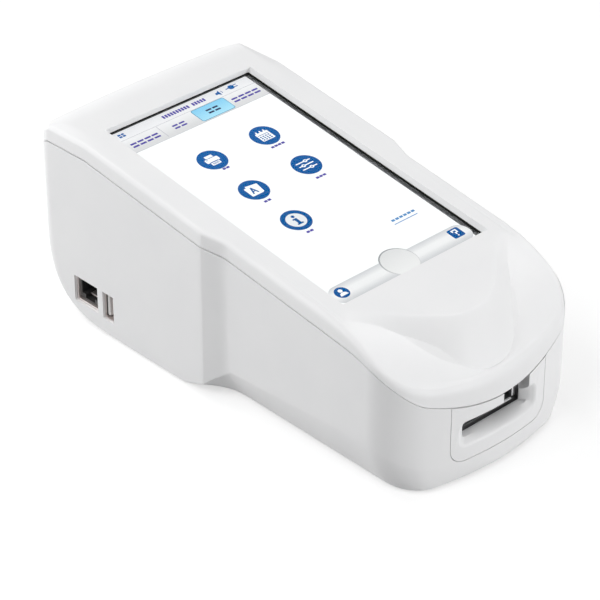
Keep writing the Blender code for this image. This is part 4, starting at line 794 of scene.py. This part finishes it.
def scoopHole():
    # a rounded rectangle that narrows from the nose's face to the slot, its front edge rounded over
    p, bulge, sillShare, steps = port, form["noseBulge"], scoop["sillShare"], scoop["cornerSteps"]

    def rim(share, grow, place):
        left = mix(p["scoopLeft"], p["slotLeft"], share) - grow
        right = mix(p["scoopRight"], p["slotRight"], share) + grow
        high = mix(p["scoopHigh"], p["slotHigh"], share) + grow
        if share < sillShare:
            low = mix(p["scoopLow"], p["slotLow"] - p["sillDrop"], share / sillShare) - grow
        else:
            low = p["slotLow"] - p["sillDrop"] * (1 - share) / (1 - sillShare)
        corner = mix(p["scoopCorner"], p["slotCorner"], share) + grow
        outline = [Vector(spot) for spot in roundedOutline((right - left) / 2, (high - low) / 2, corner, steps)]
        points, across = [], (left + right) / 2
        for i, spot in enumerate(outline):
            parts = scoop["runParts"] if i % (steps + 1) == steps else 1  # straight runs follow the nose's curve too
            points += [spot.lerp(outline[(i + 1) % len(outline)], part / parts) for part in range(parts)]
        return [(x + across, place(x + across), z + (low + high) / 2) for x, z in points]

    def faceRim(depth, grow):
        # a rim this deep behind the nose's curved face
        share = max(0.0, depth / (p["slotY"] - form["noseY"]))
        return rim(share, grow, lambda x: form["noseY"] + bulge - math.sqrt(bulge ** 2 - x ** 2) + depth)

    mouth, flare = p["mouth"], scoop["flare"] * p["mouth"]
    rims = [rim(0.0, flare, lambda x: form["noseY"] - p["beyond"]), faceRim(-scoop["lead"] * mouth, flare)]
    for turn in map(math.radians, scoop["mouthAngles"]):
        rims.append(faceRim(mouth * (1 - math.sin(turn)), mouth * (1 - math.cos(turn))))
    rims.append(rim(sillShare, 0.0, lambda x: mix(form["noseY"], p["slotY"], sillShare)))
    rims.append(rim(1.0, 0.0, lambda x: p["slotY"]))
    return gridSkin([list(line) for line in zip(*rims)])


def boxRound(node, before, behind, *rounding, **more):
    # a box that reaches this many millimetres past a node of the CAD model
    low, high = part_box(node)
    return softBox(low - Vector(before) * mm, high + Vector(behind) * mm, *rounding, **more)


def holeUnder(node, radius, top, sides):
    spot = middle(node)
    return moved(roundBar(radius * mm, -2 * mm, top * mm, sides=sides), (spot.x, spot.y, 0))


opening = {
    "gap": 0.3, "sideOut": 4, "inletOut": 6, "inletEdge": 0.5 * mm, "button": 5.8 * mm, "buttonOut": 3 * mm,
    "foot": (6.3, 2.2, 48), "screw": (3.1, 6.0, 40), "doorDown": 3, "doorCorner": 2.1 * mm,
    "grille": 8, "grillePitch": 3, "grilleHalf": 0.6, "grilleEdge": 0.55 * mm, "grilleTop": 3.75,
}
corners = ("front_left", "front_right", "rear_left", "rear_right")
shellShaped = shellShape()
front, rear = form["noseY"] - port["beyond"], form["noseY"] + port["depth"]
shellShaped = carve(shellShaped, portBlock(form["gap"], front, rear + form["gap"]))
cuts, o, gap = bmesh.new(), opening, opening["gap"]
for node in ("ethernet_jack", "usb_jack"):
    addShape(cuts, boxRound(node, (o["sideOut"], gap, gap), (gap, gap, gap)))
addShape(cuts, boxRound("power_jack", (gap, gap, gap), (gap, o["inletOut"], gap), o["inletEdge"]))
low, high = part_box("power_button")
hole = roundBar(o["button"], low.y, high.y + o["buttonOut"], "Y", 48)
addShape(cuts, moved(hole, ((low.x + high.x) / 2, 0, (low.z + high.z) / 2)))
for where in corners:
    addShape(cuts, holeUnder("foot_" + where, *o["foot"]))
    addShape(cuts, holeUnder("case_screw_" + where, *o["screw"]))
addShape(cuts, boxRound("battery_door", (gap, gap, o["doorDown"]), (gap, gap, gap), o["doorCorner"], 6, upright=True))
for i in range(-2, 3):
    away, half = o["grillePitch"] * i, o["grilleHalf"]
    reach, place = math.sqrt(o["grille"] ** 2 - away ** 2), Vector((0, middle("speaker").y, 0))
    low, high = place + by(-reach, away - half, -2), place + by(reach, away + half, o["grilleTop"])
    addShape(cuts, softBox(low, high, o["grilleEdge"], 4, upright=True))
finished("bottomShell", carve(shellShaped, cuts), "case_plastic", "bottom_shell")
finished("topCover", coverShape, "case_plastic", "top_cover")
print("bottom shell shaped")

insertShape = carve(portBlock(0.0, front, rear), caseForm(form["seamGap"]), "INTERSECT")
insertShape = carve(insertShape, scoopHole())
p, back, margin = port, rear + port["beyond"], port["pocketMargin"]
ribEnd = p["ribRight"] + p["ribLap"]
for low, high in (
    # the slot; the notch that opens upwards, over and behind the short rib between it and the slot; the pocket
    ((p["slotLeft"], p["slotY"] - p["slotLap"], p["slotLow"]), (p["slotRight"], back, p["slotHigh"])),
    ((p["ribRight"], front, p["notchLow"]), (p["notchRight"], back, p["sky"])),
    ((p["notchLeft"], front, p["ribTop"]), (ribEnd, back, p["sky"])),
    ((p["notchLeft"], p["ribRear"], p["notchLow"]), (ribEnd, back, p["sky"])),
    ((p["slotLeft"] - margin, p["pocketFront"], p["slotLow"] - margin),
     (p["slotRight"] + margin, back, p["pocketHigh"])),
):
    insertShape = carve(insertShape, softBox(low, high, p["edge"]))
finished("portInsert", insertShape, "case_plastic", "port_insert")
print("port insert shaped")

# Screen stack: glass, a near-black band painted as the shadow under the window's wall, and what the display shows, in
# millimetres, laid on the tilted plane

screenFrame = Matrix.Translation((0, form["windowY"], form["windowZ"])) @ Matrix.Rotation(tilt, 4, "X")
screen = {
    "glassHalf": (47.1, 80.6), "glassTop": -2.7, "glassBottom": -4.3, "glassCorner": 1.6, "glassRound": 0.15,
    "gasketInner": (42.4, 77.15), "gasketOuter": (46.4, 79.9), "gasketTop": -2.42, "displayTop": -4.6,
    "layer": 0.034, "between": 0.004, "borderOuter": (45.9, 79.4), "shown": (41.4, 77.4), "shownFront": -76.5,
    "pictureShift": (0.38, 0.35),
}


def onScreen(shape):
    bmesh.ops.scale(shape, vec=(mm, mm, mm), verts=shape.verts)
    bmesh.ops.transform(shape, matrix=screenFrame, verts=shape.verts)
    return shape


def screenColour(shade):
    # a web colour as linear levels, which may also be given as they are
    if isinstance(shade, tuple):
        return shade
    levels = [int(shade[i:i + 2], 16) / 255 for i in (0, 2, 4)]
    return tuple(level / 12.92 if level <= 0.04045 else ((level + 0.055) / 1.055) ** 2.4 for level in levels)


def frameShape(outer, inner, bottom, top, corner):
    # a flat frame: its outline extruded, and its inside cut away
    shape = plate(roundedOutline(*outer, corner), bottom, top)
    return carve(shape, plate(roundedOutline(*inner, corner / 2), bottom - 1, top + 1))


glassOutline = roundedOutline(*screen["glassHalf"], screen["glassCorner"])
glassShape = plate(glassOutline, screen["glassBottom"], screen["glassTop"])
roundEdges(glassShape, levelEdges(glassShape), screen["glassRound"], 2)
finished("touchGlass", onScreen(glassShape), "screen_glass", "touch_panel")
# painted shadow: a near-black, barely reflective band on the glass reaching past the foot of the window's wall stands
# in for the dark gap there
shadowBandFoot = screen["glassTop"] + 0.01
shadowBandShape = frameShape(screen["gasketOuter"], screen["gasketInner"], shadowBandFoot, screen["gasketTop"], 0.8)
finished("windowGasket", onScreen(shadowBandShape), "black_plastic", material=plastic(
    "gasketFoam", (0.004, 0.004, 0.004), (0.009, 0.009, 0.009), rough=(0.75, 0.9), grainSize=0.35, bumpDepth=0.05,
    worn=(0.02, 0.02, 0.02), dusty=0.0, specular=0.1))


def layerHeights(level):
    bottom = screen["displayTop"] + screen["layer"] * level + screen["between"]
    return bottom, bottom + screen["layer"] - screen["between"]


# painted reflection: the border's black ink is given a mid grey that stands in for the bright room mirrored in the
# glass, and is lighter still so that it keeps this tone in the shade under the dark band beside it
borderShape = frameShape(screen["borderOuter"], screen["shown"], *layerHeights(0), 0.5)
finished("displayBorder", onScreen(borderShape), "display_body", material=plastic(
    "displayBorder", (0.17, 0.17, 0.175), (0.2, 0.2, 0.206), rough=(0.3, 0.4), grainSize=0.5, bumpDepth=0.004,
    worn=(0.1, 0.1, 0.1), dusty=0.0))

inks = {name: litMaterial(name, *looks) for name, *looks in (
    # name, colour, the colour it runs into, from where to where along the screen and from which centre, in metres
    ("pageWhite", (0.98, 0.985, 0.99)), ("tabLine", "B9B9C2"), ("tabRim", "4A94B8"), ("signWhite", (0.97, 0.98, 1.0)),
    ("textPurple", "4A40A0"), ("textDark", "2F3A5E"), ("linkBlue", "4F8CC4"), ("signGrey", "E6E8EC"),
    ("barGrey", "F1F1F3", "E3E3E7", 0.077, 0.090), ("tabGrey", "D9D9DB", "EFEFF1", 0.072, 0.081),
    ("tabBlue", "A9E1F7", "83CBEE", 0.072, 0.081), ("signBlue", "005397", "035BA3", -0.02, 0.06),
    ("silver", "EEEEEF", "CFD0D3", 0.0014, 0.0052, -0.0577), ("silverDisc", "ECECEC", "DCDCDD", -0.064, -0.048),
    ("discRim", "D4D4D5", "94979A", -0.064, -0.050),
)}


def shown(name, shapes, level, ink):
    # joins flat outlines into one piece of the picture on the display
    whole, (shiftU, shiftV) = bmesh.new(), screen["pictureShift"]
    for points in shapes:
        addShape(whole, plate([(x + shiftU, y + shiftV) for x, y in points], *layerHeights(level)))
    finished(name, onScreen(whole), "display_body", material=inks[ink], sharp=20)


def at(points, u, v, turn=0.0, size=1.0):
    c, s = size * math.cos(turn), size * math.sin(turn)
    return [(u + x * c - y * s, v + x * s + y * c) for x, y in points]


def bar(u0, v0, u1, v1, corner=0.25, steps=4):
    return at(roundedOutline((u1 - u0) / 2, (v1 - v0) / 2, corner, steps), (u0 + u1) / 2, (v0 + v1) / 2)


def disc(u, v, radius, sides=48):
    turns = [2 * math.pi * i / sides for i in range(sides)]
    return [(u + radius * math.cos(turn), v + radius * math.sin(turn)) for turn in turns]


def blocks(u, v, count, width, height, gap, lines=1):
    # a label stands as a short row of plain bars, one or more high
    thick, made = height / (2 * lines - 1), []
    for i in range(count):
        left = u + (i - (count - 1) / 2) * (width + gap) - width / 2
        for k in range(lines):
            low = v - height / 2 + 2 * k * thick
            made.append(bar(left, low, left + width, low + thick, min(0.2, thick / 3), 2))
    return made


half, rearEdge, frontEdge = screen["shown"][0] - 0.05, screen["shown"][1] - 0.05, screen["shownFront"]
for name, low, high, ink in (
    ("displayPage", frontEdge, 60.0, "pageWhite"), ("displayStatusBar", 70.75, rearEdge, "barGrey"),
    ("displayTabRow", 60.05, 70.7, "tabGrey"),
):
    shown(name, [bar(-half, low, half, high, 0.02, 1)], 0, ink)
shown("tabDividers", [bar(-20.65, 61.3, -20.35, 70.2, 0.1, 1), bar(-41.2, 70.75, 41.2, 70.95, 0.05, 1),
                      bar(-41.2, 60.1, 41.2, 60.3, 0.05, 1)], 1, "tabLine")
shown("activeTabRim", [bar(0.3, 60.8, 20.7, 70.6, 1.2)], 1, "tabRim")
shown("activeTab", [bar(0.65, 61.15, 20.35, 70.25, 0.9)], 2, "tabBlue")
shown("tabLabels", blocks(-31.2, 65.2, 4, 3.5, 3.3, 0.75, 2) + blocks(-10.5, 65.3, 2, 3.2, 3.1, 0.9, 2)
      + blocks(31.0, 65.5, 4, 3.5, 3.3, 0.75, 2), 1, "textPurple")
shown("activeTabLabel", blocks(10.5, 65.6, 2, 3.3, 3.3, 0.7, 2), 3, "textDark")
shown("statusClock", blocks(-5.2, 74.2, 10, 1.15, 2.3, 0.5) + blocks(8.9, 74.2, 5, 1.15, 2.3, 0.5), 1, "textPurple")
shown("statusSigns", [
    # a small table, a speaker and a plug
    *[bar(u, v, u + 1.6, v + 1.1, 0.1, 1) for u in (-39.6, -37.6) for v in (73.0, 74.5)],
    [(19.6, 73.4), (20.8, 73.4), (22.2, 72.2), (22.2, 76.0), (20.8, 74.8), (19.6, 74.8)],
    [(23.0, 73.3), (23.3, 73.1), (23.7, 74.1), (23.3, 75.1), (23.0, 74.9), (23.3, 74.1)],
    bar(28.0, 73.0, 31.2, 76.0, 1.2), bar(26.2, 74.2, 28.2, 74.8, 0.1), bar(31.0, 73.5, 33.2, 74.0, 0.1),
    bar(31.0, 75.0, 33.2, 75.5, 0.1),
], 1, "signBlue")
print("status bar and tabs laid")

knobs = ((1.6, 2.65), (-1.8, 0), (1.2, -2.65))
menu = {
    # name: place, size, the label's place and its number of bars, the sign, the marks on it
    "printer": (
        (-16.5, 36.0), 0.86, (-15.5, 27.8, 2),
        [bar(-2.5, 2.2, 2.5, 4.3, 0.2), bar(-4.4, -1.6, 4.4, 1.8, 0.7), bar(-2.9, -4.3, 2.9, -2.0, 0.2)],
        [bar(-3.4, 0.7, -2.6, 1.2, 0.1, 1), bar(-2.2, -2.9, 2.2, -2.6, 0.05, 1), bar(-2.2, -3.6, 2.2, -3.3, 0.05, 1),
         bar(-2.6, -1.75, 2.6, -1.35, 0.05, 1)]),
    "calendar": (
        (16.0, 36.3), 0.86, (15.9, 27.2, 4),
        [bar(-4.3, -4.2, 4.3, 3.3, 0.5), *[bar(u - 0.45, 3.2, u + 0.45, 4.7, 0.3) for u in (-2.55, 0, 2.55)]],
        [*[bar(u, v, u + 1.1, v + 0.85, 0.08, 1) for u in (-3.5, -1.7, 0.1, 1.9) for v in (-3.6, -2.15, -0.7)],
         bar(-3.8, 1.0, 3.8, 1.35, 0.05, 1)]),
    "sliders": (
        (16.1, 8.3), 0.94, (15.5, -2.0, 3),
        [bar(-4.6, v - 0.35, 4.6, v + 0.35, 0.2) for _, v in knobs] + [disc(u, v, 1.1, 20) for u, v in knobs],
        [disc(u, v, 0.45, 14) for u, v in knobs]),
    "pages": (
        (-16.5, 8.0), 0.9, (-16.9, -1.4, 2),
        [at(bar(-3.6, -3.4, 3.6, 3.8, 0.3), 0.6, 0.2, math.radians(-8)), bar(-4.2, -4.0, 3.0, 3.2, 0.3)],
        [[(-2.6, -2.6), (-1.7, -2.6), (-0.35, 1.3), (-0.35, 2.3), (-0.95, 2.3)],
         [(1.4, -2.6), (0.5, -2.6), (-0.85, 1.3), (-0.85, 2.3), (-0.25, 2.3)], bar(-1.6, -1.2, 0.4, -0.5, 0.05, 1)]),
    "info": (
        (-16.4, -19.6), 1.0, (-16.9, -29.0, 2), [disc(0, 0, 4.9, 40)],
        [disc(0.25, 2.7, 0.9, 20), bar(-0.75, -3.0, 0.95, 1.2, 0.2), bar(-1.5, 0.3, 0.1, 1.2, 0.15),
         bar(-1.6, -3.3, 1.8, -2.4, 0.15)]),
}
for name, ((u, v), size, label, sign, marks) in menu.items():
    shown(name + "Disc", [disc(u, v, 7.3)], 1, "signBlue")
    signInk = "signGrey" if name == "info" else "signWhite"
    for part, shapes, level, ink in (("Sign", sign, 2, signInk), ("Marks", marks, 3, "signBlue")):
        shown(name + part, [at(points, u, v, size=size) for points in shapes], level, ink)
menuLabels = [label for _, _, label, _, _ in menu.values()]
shown("menuLabels", [points for label in menuLabels for points in blocks(*label, 1.75, 1.3, 0.35)], 1, "textPurple")
shown("linkBars", blocks(24.8, -45.4, 6, 1.95, 1.3, 0.5) + [bar(17.1, -48.2, 31.4, -47.75, 0.1, 1)], 1, "linkBlue")
shown("bottomBar", [bar(-42.2, -75.6, 42.2, -63.8, 5.6, 10)], 1, "silver")
shown("bareDiscRim", [disc(-0.1, -68.2, 9.35, 64)], 2, "discRim")
shown("bareDisc", [disc(0.1, -68.35, 8.9, 64)], 3, "silverDisc")
shown("userDisc", [disc(-35.7, -68.9, 3.6)], 2, "signBlue")
shoulders = [(-37.9, -70.9), (-33.5, -70.9), (-34.0, -69.5), (-35.0, -69.0), (-36.4, -69.0), (-37.4, -69.5)]
shown("userSign", [disc(-35.7, -67.7, 1.1, 20), shoulders], 3, "signWhite")
shown("helpSquare", [bar(31.8, -71.7, 38.4, -65.3, 0.9)], 2, "signBlue")
shown("helpSign", [
    bar(34.7, -70.7, 35.5, -69.9, 0.3), bar(34.75, -69.4, 35.45, -68.2, 0.1), bar(34.75, -68.5, 36.7, -67.9, 0.1),
    bar(36.0, -68.5, 36.7, -66.4, 0.2), bar(33.6, -66.9, 36.7, -66.2, 0.2), bar(33.6, -67.8, 34.3, -66.2, 0.2),
], 3, "signWhite")
print("display picture laid")

# Sockets in the left side, millimetres

contactGold = metal("contactGold", (0.85, 0.62, 0.25), (0.72, 0.5, 0.18), rough=(0.18, 0.3), worn=(0.95, 0.8, 0.5))
jack = {
    "recess": 1.0, "rim": 0.845, "deepTo": 2, "edge": 0.25, "mouthEdge": 0.3, "linerIn": 1.1, "linerGap": 0.02,
    "hollowEdge": 0.2, "contacts": 8, "pitch": 1.02, "wireFrom": (2.5, -0.18, -1.9), "wireTo": (13, 0.18, -1.55),
    "wireEdge": 0.08, "wireLean": math.radians(9),
}
low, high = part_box("ethernet_jack")
low, r = low + by(jack["recess"], 0, 0), jack["rim"]
mouth = softBox(low + by(-3, r, r), high - by(jack["deepTo"], r, r), jack["mouthEdge"] * mm, 3)
jackShape = carve(softBox(low, high, jack["edge"] * mm, 3), mouth)
finished("networkJack", jackShape, "jack_steel", "ethernet_jack")
inner = r + jack["linerGap"]
farFoot, nearFoot = Vector((high.x, high.y, low.z)), Vector((low.x, high.y, low.z))
linerEnd = high - by(jack["deepTo"] + jack["linerGap"], inner, inner)
linerShape = softBox(low + by(jack["linerIn"], inner, inner), linerEnd, jack["mouthEdge"] * mm)
for hollow in (
    # the plug's room, and the step below it for the plug's latch
    (low + by(-2, r + 1.3, r + 3.1), high - by(4, r + 1.3, r + 1.0)),
    (low + by(-2, r + 3.9, r + 1.0), farFoot + by(-6, -r - 3.9, r + 4.0)),
):
    linerShape = carve(linerShape, softBox(*hollow, jack["hollowEdge"] * mm))
finished("networkJackLiner", linerShape, "black_plastic")
contacts = bmesh.new()
for i in range(jack["contacts"]):
    y = (low.y + high.y) / 2 + (i - (jack["contacts"] - 1) / 2) * jack["pitch"] * mm
    start = Vector((low.x, y, high.z - r * mm))
    wire = softBox(start + by(*jack["wireFrom"]), start + by(*jack["wireTo"]), jack["wireEdge"] * mm)
    root, lean = start + by(jack["wireTo"][0], 0, jack["wireTo"][2]), Matrix.Rotation(jack["wireLean"], 3, "Y")
    bmesh.ops.rotate(wire, cent=root, matrix=lean, verts=wire.verts)
    addShape(contacts, wire)
finished("networkJackContacts", contacts, "brass", material=contactGold)
ledge = softBox(low + by(4, r + 1.2, r + 2.0), nearFoot + by(7, -r - 1.6, r + 2.8), jack["mouthEdge"] * mm)
finished("networkJackLedge", ledge, "jack_steel")

usb = {
    "recess": 0.6, "wall": 0.6, "edge": 0.8, "mouthEdge": 0.48, "tongueIn": 1.0, "tongueEdge": 0.3, "liner": 0.3,
    "linerEdge": 0.05, "contacts": (-3.5, -1.0, 1.0, 3.5), "padFrom": (2.6, -0.2, -0.5), "padTo": (9, 0.06, 0.5),
}
low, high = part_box("usb_jack")
low, wall = low + by(usb["recess"], 0, 0), usb["wall"]
mouth = softBox(low + by(-3, wall, wall), high - by(1, wall, wall), usb["mouthEdge"] * mm, 3)
finished("usbPort", carve(softBox(low, high, usb["edge"] * mm, 4), mouth), "jack_steel", "usb_jack")
liner = softBox(Vector((low.x, high.y, low.z)) + by(0.7, -wall - usb["liner"], 1), high - by(2, wall + 0.02, 1),
                usb["linerEdge"] * mm)
low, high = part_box("usb_tongue")
tongue = softBox(low + by(usb["tongueIn"], 0, 0), high, usb["tongueEdge"] * mm, 3)
finished("usbTongue", tongue, "tongue_plastic", "usb_tongue")
pads = bmesh.new()
for z in usb["contacts"]:
    start = Vector((low.x, high.y, (low.z + high.z) / 2 + z * mm))
    addShape(pads, softBox(start + by(*usb["padFrom"]), start + by(*usb["padTo"]), usb["linerEdge"] * mm))
finished("usbContacts", pads, "brass", material=contactGold)
finished("usbLiner", liner, "black_plastic")
print("side sockets made")

# Power inlet and power button in the rear wall, millimetres

def endRound(radius, rounding, side):
    # a quarter turn from a turned wall into its flat end
    turns = (0.4, 0.8, 1.2, 1.57)
    return [(radius - rounding * (1 - math.cos(t)), side * rounding * (1 - math.sin(t))) for t in turns]


inlet = {"bore": 3.1, "lead": 0.5, "depth": 9.6, "pin": 0.95, "edge": 0.45}
low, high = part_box("power_jack")
place, outward = ((low.x + high.x) / 2, high.y, (low.z + high.z) / 2), Matrix.Rotation(-math.pi / 2, 4, "X")
wide, deep = inlet["bore"] + inlet["lead"], -inlet["depth"]
bore = turned([(0, deep), (inlet["bore"], deep), (inlet["bore"], -inlet["lead"]), (wide, 0), (wide, 2), (0, 2)], 48)
inletShape = carve(softBox(low, high, inlet["edge"] * mm, 3), moved(bore, place, outward))
finished("powerInlet", inletShape, "black_plastic", "power_jack")
pin = turned([(0, deep - 1), (inlet["pin"], deep - 1), (inlet["pin"], -2.2), (0.6, -1.7), (0, -1.6)], 24)
finished("powerInletPin", moved(pin, place, outward), "steel")

button = {
    "radius": 5.5, "flange": 6.5, "flangeThick": 1.0, "round": 0.6, "dish": 0.35,
    "stroke": ((-0.3, 0.7, -0.8), (0.3, 2.6, 1)), "mark": ((1.7, -0.2, -0.8), (2.2, 0.2, 1)), "marks": 24,
}
low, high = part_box("power_button")
b, deep = button, (low.y - high.y) / mm
cap = [(0, deep), (b["flange"], deep), (b["flange"], deep + b["flangeThick"]), (b["radius"], deep + b["flangeThick"]),
       (b["radius"], -b["round"]), *endRound(b["radius"], b["round"], -1),
       (4.3, -0.03), (3.6, -b["dish"] * 0.5), (2.2, -b["dish"] * 0.9), (0, -b["dish"])]
sign = softBox(*(by(*corner) for corner in b["stroke"]))
for i in range(2, b["marks"] - 1):  # the ring is open where the stroke stands
    mark = softBox(*(by(*corner) for corner in b["mark"]))
    addShape(sign, moved(mark, (0, 0, 0), Matrix.Rotation(math.pi / 2 + 2 * math.pi * i / b["marks"], 4, "Z")))
outward = Matrix.Rotation(math.pi, 4, "Z") @ Matrix.Rotation(math.pi / 2, 4, "X")
cap = moved(carve(turned(cap, 64), sign), ((low.x + high.x) / 2, high.y, (low.z + high.z) / 2), outward)
finished("powerButton", cap, "case_plastic", "power_button", body="button", material=plastic(
    "buttonPlastic", (0.62, 0.63, 0.64), (0.57, 0.58, 0.59), rough=(0.36, 0.46), grainSize=0.28, bumpDepth=0.012,
    worn=(0.75, 0.75, 0.75), dusty=0.02, grimy=(0.3, 0.3, 0.3)))
print("rear controls made")

# Feet, case screws and battery door underneath, millimetres

foot = {"radius": 6.0, "top": 1.9, "round": 0.5, "groove": 4.2, "grooveDepth": 0.35}
f = foot
footProfile = [(0, f["top"]), (f["radius"], f["top"]), (f["radius"], f["round"])]
footProfile += endRound(f["radius"], f["round"], 1)
for across, height in ((0.5, 0), (0.3, f["grooveDepth"]), (-0.3, f["grooveDepth"]), (-0.5, 0)):
    footProfile.append((f["groove"] + across, height))
footProfile.append((0, 0))
screw = {"head": 2.8, "headHigh": 1.6, "shank": 1.5, "blades": ((1.5, 0.32, 1.1), (0.32, 1.5, 1.12))}
head, headHigh, shank = screw["head"], screw["headHigh"], screw["shank"]
for where in corners:
    spot = middle("foot_" + where)
    shape = moved(turned(footProfile, 48), (spot.x, spot.y, 0))
    finished("rubberFoot_" + where, shape, "foot_rubber", "foot_" + where)
    low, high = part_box("case_screw_" + where)
    top = (high.z - low.z) / mm
    shape = turned([(0, 0), (head * 0.7, 0), (head * 0.92, 0.3), (head, 0.8), (head, headHigh), (shank, headHigh),
                    (shank, top - 1.5), (0, top)], 40)
    leaning = 0.6 + 1.3 * len(where) + high.x * 70  # each cross stands at an angle of its own
    for across, along, deep in screw["blades"]:
        blade = softBox(by(-across, -along, -1), by(across, along, deep))
        shape = carve(shape, moved(blade, (0, 0, 0), Matrix.Rotation(leaning, 4, "Z")))
    place = ((low.x + high.x) / 2, (low.y + high.y) / 2, low.z)
    finished("caseScrew_" + where, moved(shape, place), "steel", "case_screw_" + where)
door = {
    "corner": 1.8, "edge": 0.3, "grips": 5, "gripFrom": 4.0, "gripPitch": 1.8, "gripHalf": (7, 0.45), "gripDeep": 0.6,
}
low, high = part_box("battery_door")
doorShape = softBox(low, high, door["corner"] * mm, 8, upright=True)
outerRim = [e for e in levelEdges(doorShape) if e.verts[0].co.z < low.z + 1e-6]
roundEdges(doorShape, outerRim, door["edge"] * mm, 3)
grips = bmesh.new()
for i in range(door["grips"]):
    start = Vector((0, low.y, low.z)) + by(0, door["gripFrom"] + door["gripPitch"] * i, 0)
    end = start + by(*door["gripHalf"], door["gripDeep"])
    addShape(grips, softBox(start - by(*door["gripHalf"], 1), end, door["edge"] * mm, 3))
finished("batteryDoor", carve(doorShape, grips), "case_plastic", "battery_door")
print("underside made")

# Lever behind the notch

lever = inMm(hub=2.2, hubEdge=0.2, bore=1.2, beyond=2, armAhead=0.9, armThick=1.3, armBelow=2, armEdge=0.4)
low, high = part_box("cartridge_latch")
hubPlace = (0, (low.y + high.y) / 2, high.z - lever["hub"])
leverShape = moved(roundBar(lever["hub"], low.x, high.x, "X", 40, lever["hubEdge"]), hubPlace)
arm = softBox((low.x, low.y - lever["armAhead"], low.z - lever["armBelow"]),
              (high.x, low.y + lever["armThick"], hubPlace[2]), lever["armEdge"], 4)
leverShape = carve(leverShape, arm, "UNION")
bore = roundBar(lever["bore"], low.x - lever["beyond"], high.x + lever["beyond"], "X", 32)
leverShape = carve(leverShape, moved(bore, hubPlace))
finished("latchLever", leverShape, "steel", "cartridge_latch", body="latch", material=metal(
    "polishedSteel", (0.72, 0.72, 0.73), (0.62, 0.62, 0.63), rough=(0.16, 0.26), stretch=(20.0, 20.0, 1.0),
    worn=(0.95, 0.95, 0.95)))
print("latch made")

# The rest of the model keeps its shape, and takes its finish from its own slot

for part in frame["record"]["subparts"]:
    node = frame["nodes"][part["node"]]
    for holder in node.material_slots:
        holder.material = slots[part["material_slot"]]
print("inner parts finished")

# Stage, lamps and camera

stage = {
    "floorColour": (0.5, 0.5, 0.5), "floorGlow": 0.6, "worldStrength": 0.15,
    "target": (0, 0, 0.05), "lampDistance": 1.5, "lampSize": 0.7,
    "lamps": {
        # name: direction from the case, watts
        "overheadRear": ((-0.1, 0.6, 0.8), 5.4), "overheadLeft": ((-0.6, 0.0, 0.8), 8.5),
        "overheadRight": ((0.6, 0.0, 0.8), 4.4), "leftRearLow": ((-0.4, 0.92, 0.05), 13.0),
        "leftHigh": ((-0.8, 0.3, 0.55), 2.7), "frontLow": ((0.2, -1.0, 0.12), 6.6),
        "frontRightLow": ((0.6, -1.0, 0.05), 10.5),
    },
    "sensor": 36, "lens": 163.62, "near": 0.05, "far": 20,
    "cameraPlace": (-0.72529, -0.75839, 0.70111), "cameraTurn": (57.3, 0, -43.5),
}


def seen(tree):
    # 1 for camera, glossy and transmitted rays, 0 for the rest
    path = addNode(tree, "LightPath")
    direct = maths(tree, "MAXIMUM", path["Is Camera Ray"], path["Is Glossy Ray"])
    return maths(tree, "MAXIMUM", direct, path["Is Transmission Ray"])


floorShape = bmesh.new()
bmesh.ops.create_grid(floorShape, x_segments=1, y_segments=1, size=6)
floor = asObject("floor", floorShape)
material, tree, shader, _ = startMaterial("paleFloor")
feed(tree, shader, {
    "Base Color": (*stage["floorColour"], 1), "Roughness": 0.9, "Specular IOR Level": 0.0,
    "Emission Color": (1, 1, 1, 1), "Emission Strength": maths(tree, "MULTIPLY", seen(tree), stage["floorGlow"]),
})
floor.data.materials.append(material)

world = bpy.data.worlds.new("studio")
world.use_nodes = True
bpy.context.scene.world = world
tree = world.node_tree
strength = ranged(tree, seen(tree), stage["worldStrength"], 1.0, 0.0, 1.0)
feed(tree, tree.nodes["Background"], {"Color": (1, 1, 1, 1), "Strength": strength})

for name, (direction, watts) in stage["lamps"].items():
    lamp = bpy.data.lights.new(name, "AREA")
    lamp.size, lamp.energy = stage["lampSize"], watts
    lampObject = bpy.data.objects.new(name, lamp)
    lampObject.visible_glossy = name != "frontRightLow"  # no glare in the screen from behind
    lampObject.location = Vector(stage["target"]) + Vector(direction).normalized() * stage["lampDistance"]
    lampObject.rotation_euler = Vector(direction).to_track_quat("Z", "Y").to_euler()
    bpy.context.scene.collection.objects.link(lampObject)

camera = bpy.data.cameras.new("camera")
camera.sensor_width, camera.lens = stage["sensor"], stage["lens"]
camera.clip_start, camera.clip_end = stage["near"], stage["far"]
cameraObject = bpy.data.objects.new("camera", camera)
cameraObject.location = stage["cameraPlace"]
cameraObject.rotation_euler = [math.radians(turn) for turn in stage["cameraTurn"]]
bpy.context.scene.collection.objects.link(cameraObject)
bpy.context.scene.camera = cameraObject
bpy.context.scene.view_settings.view_transform = "Standard"
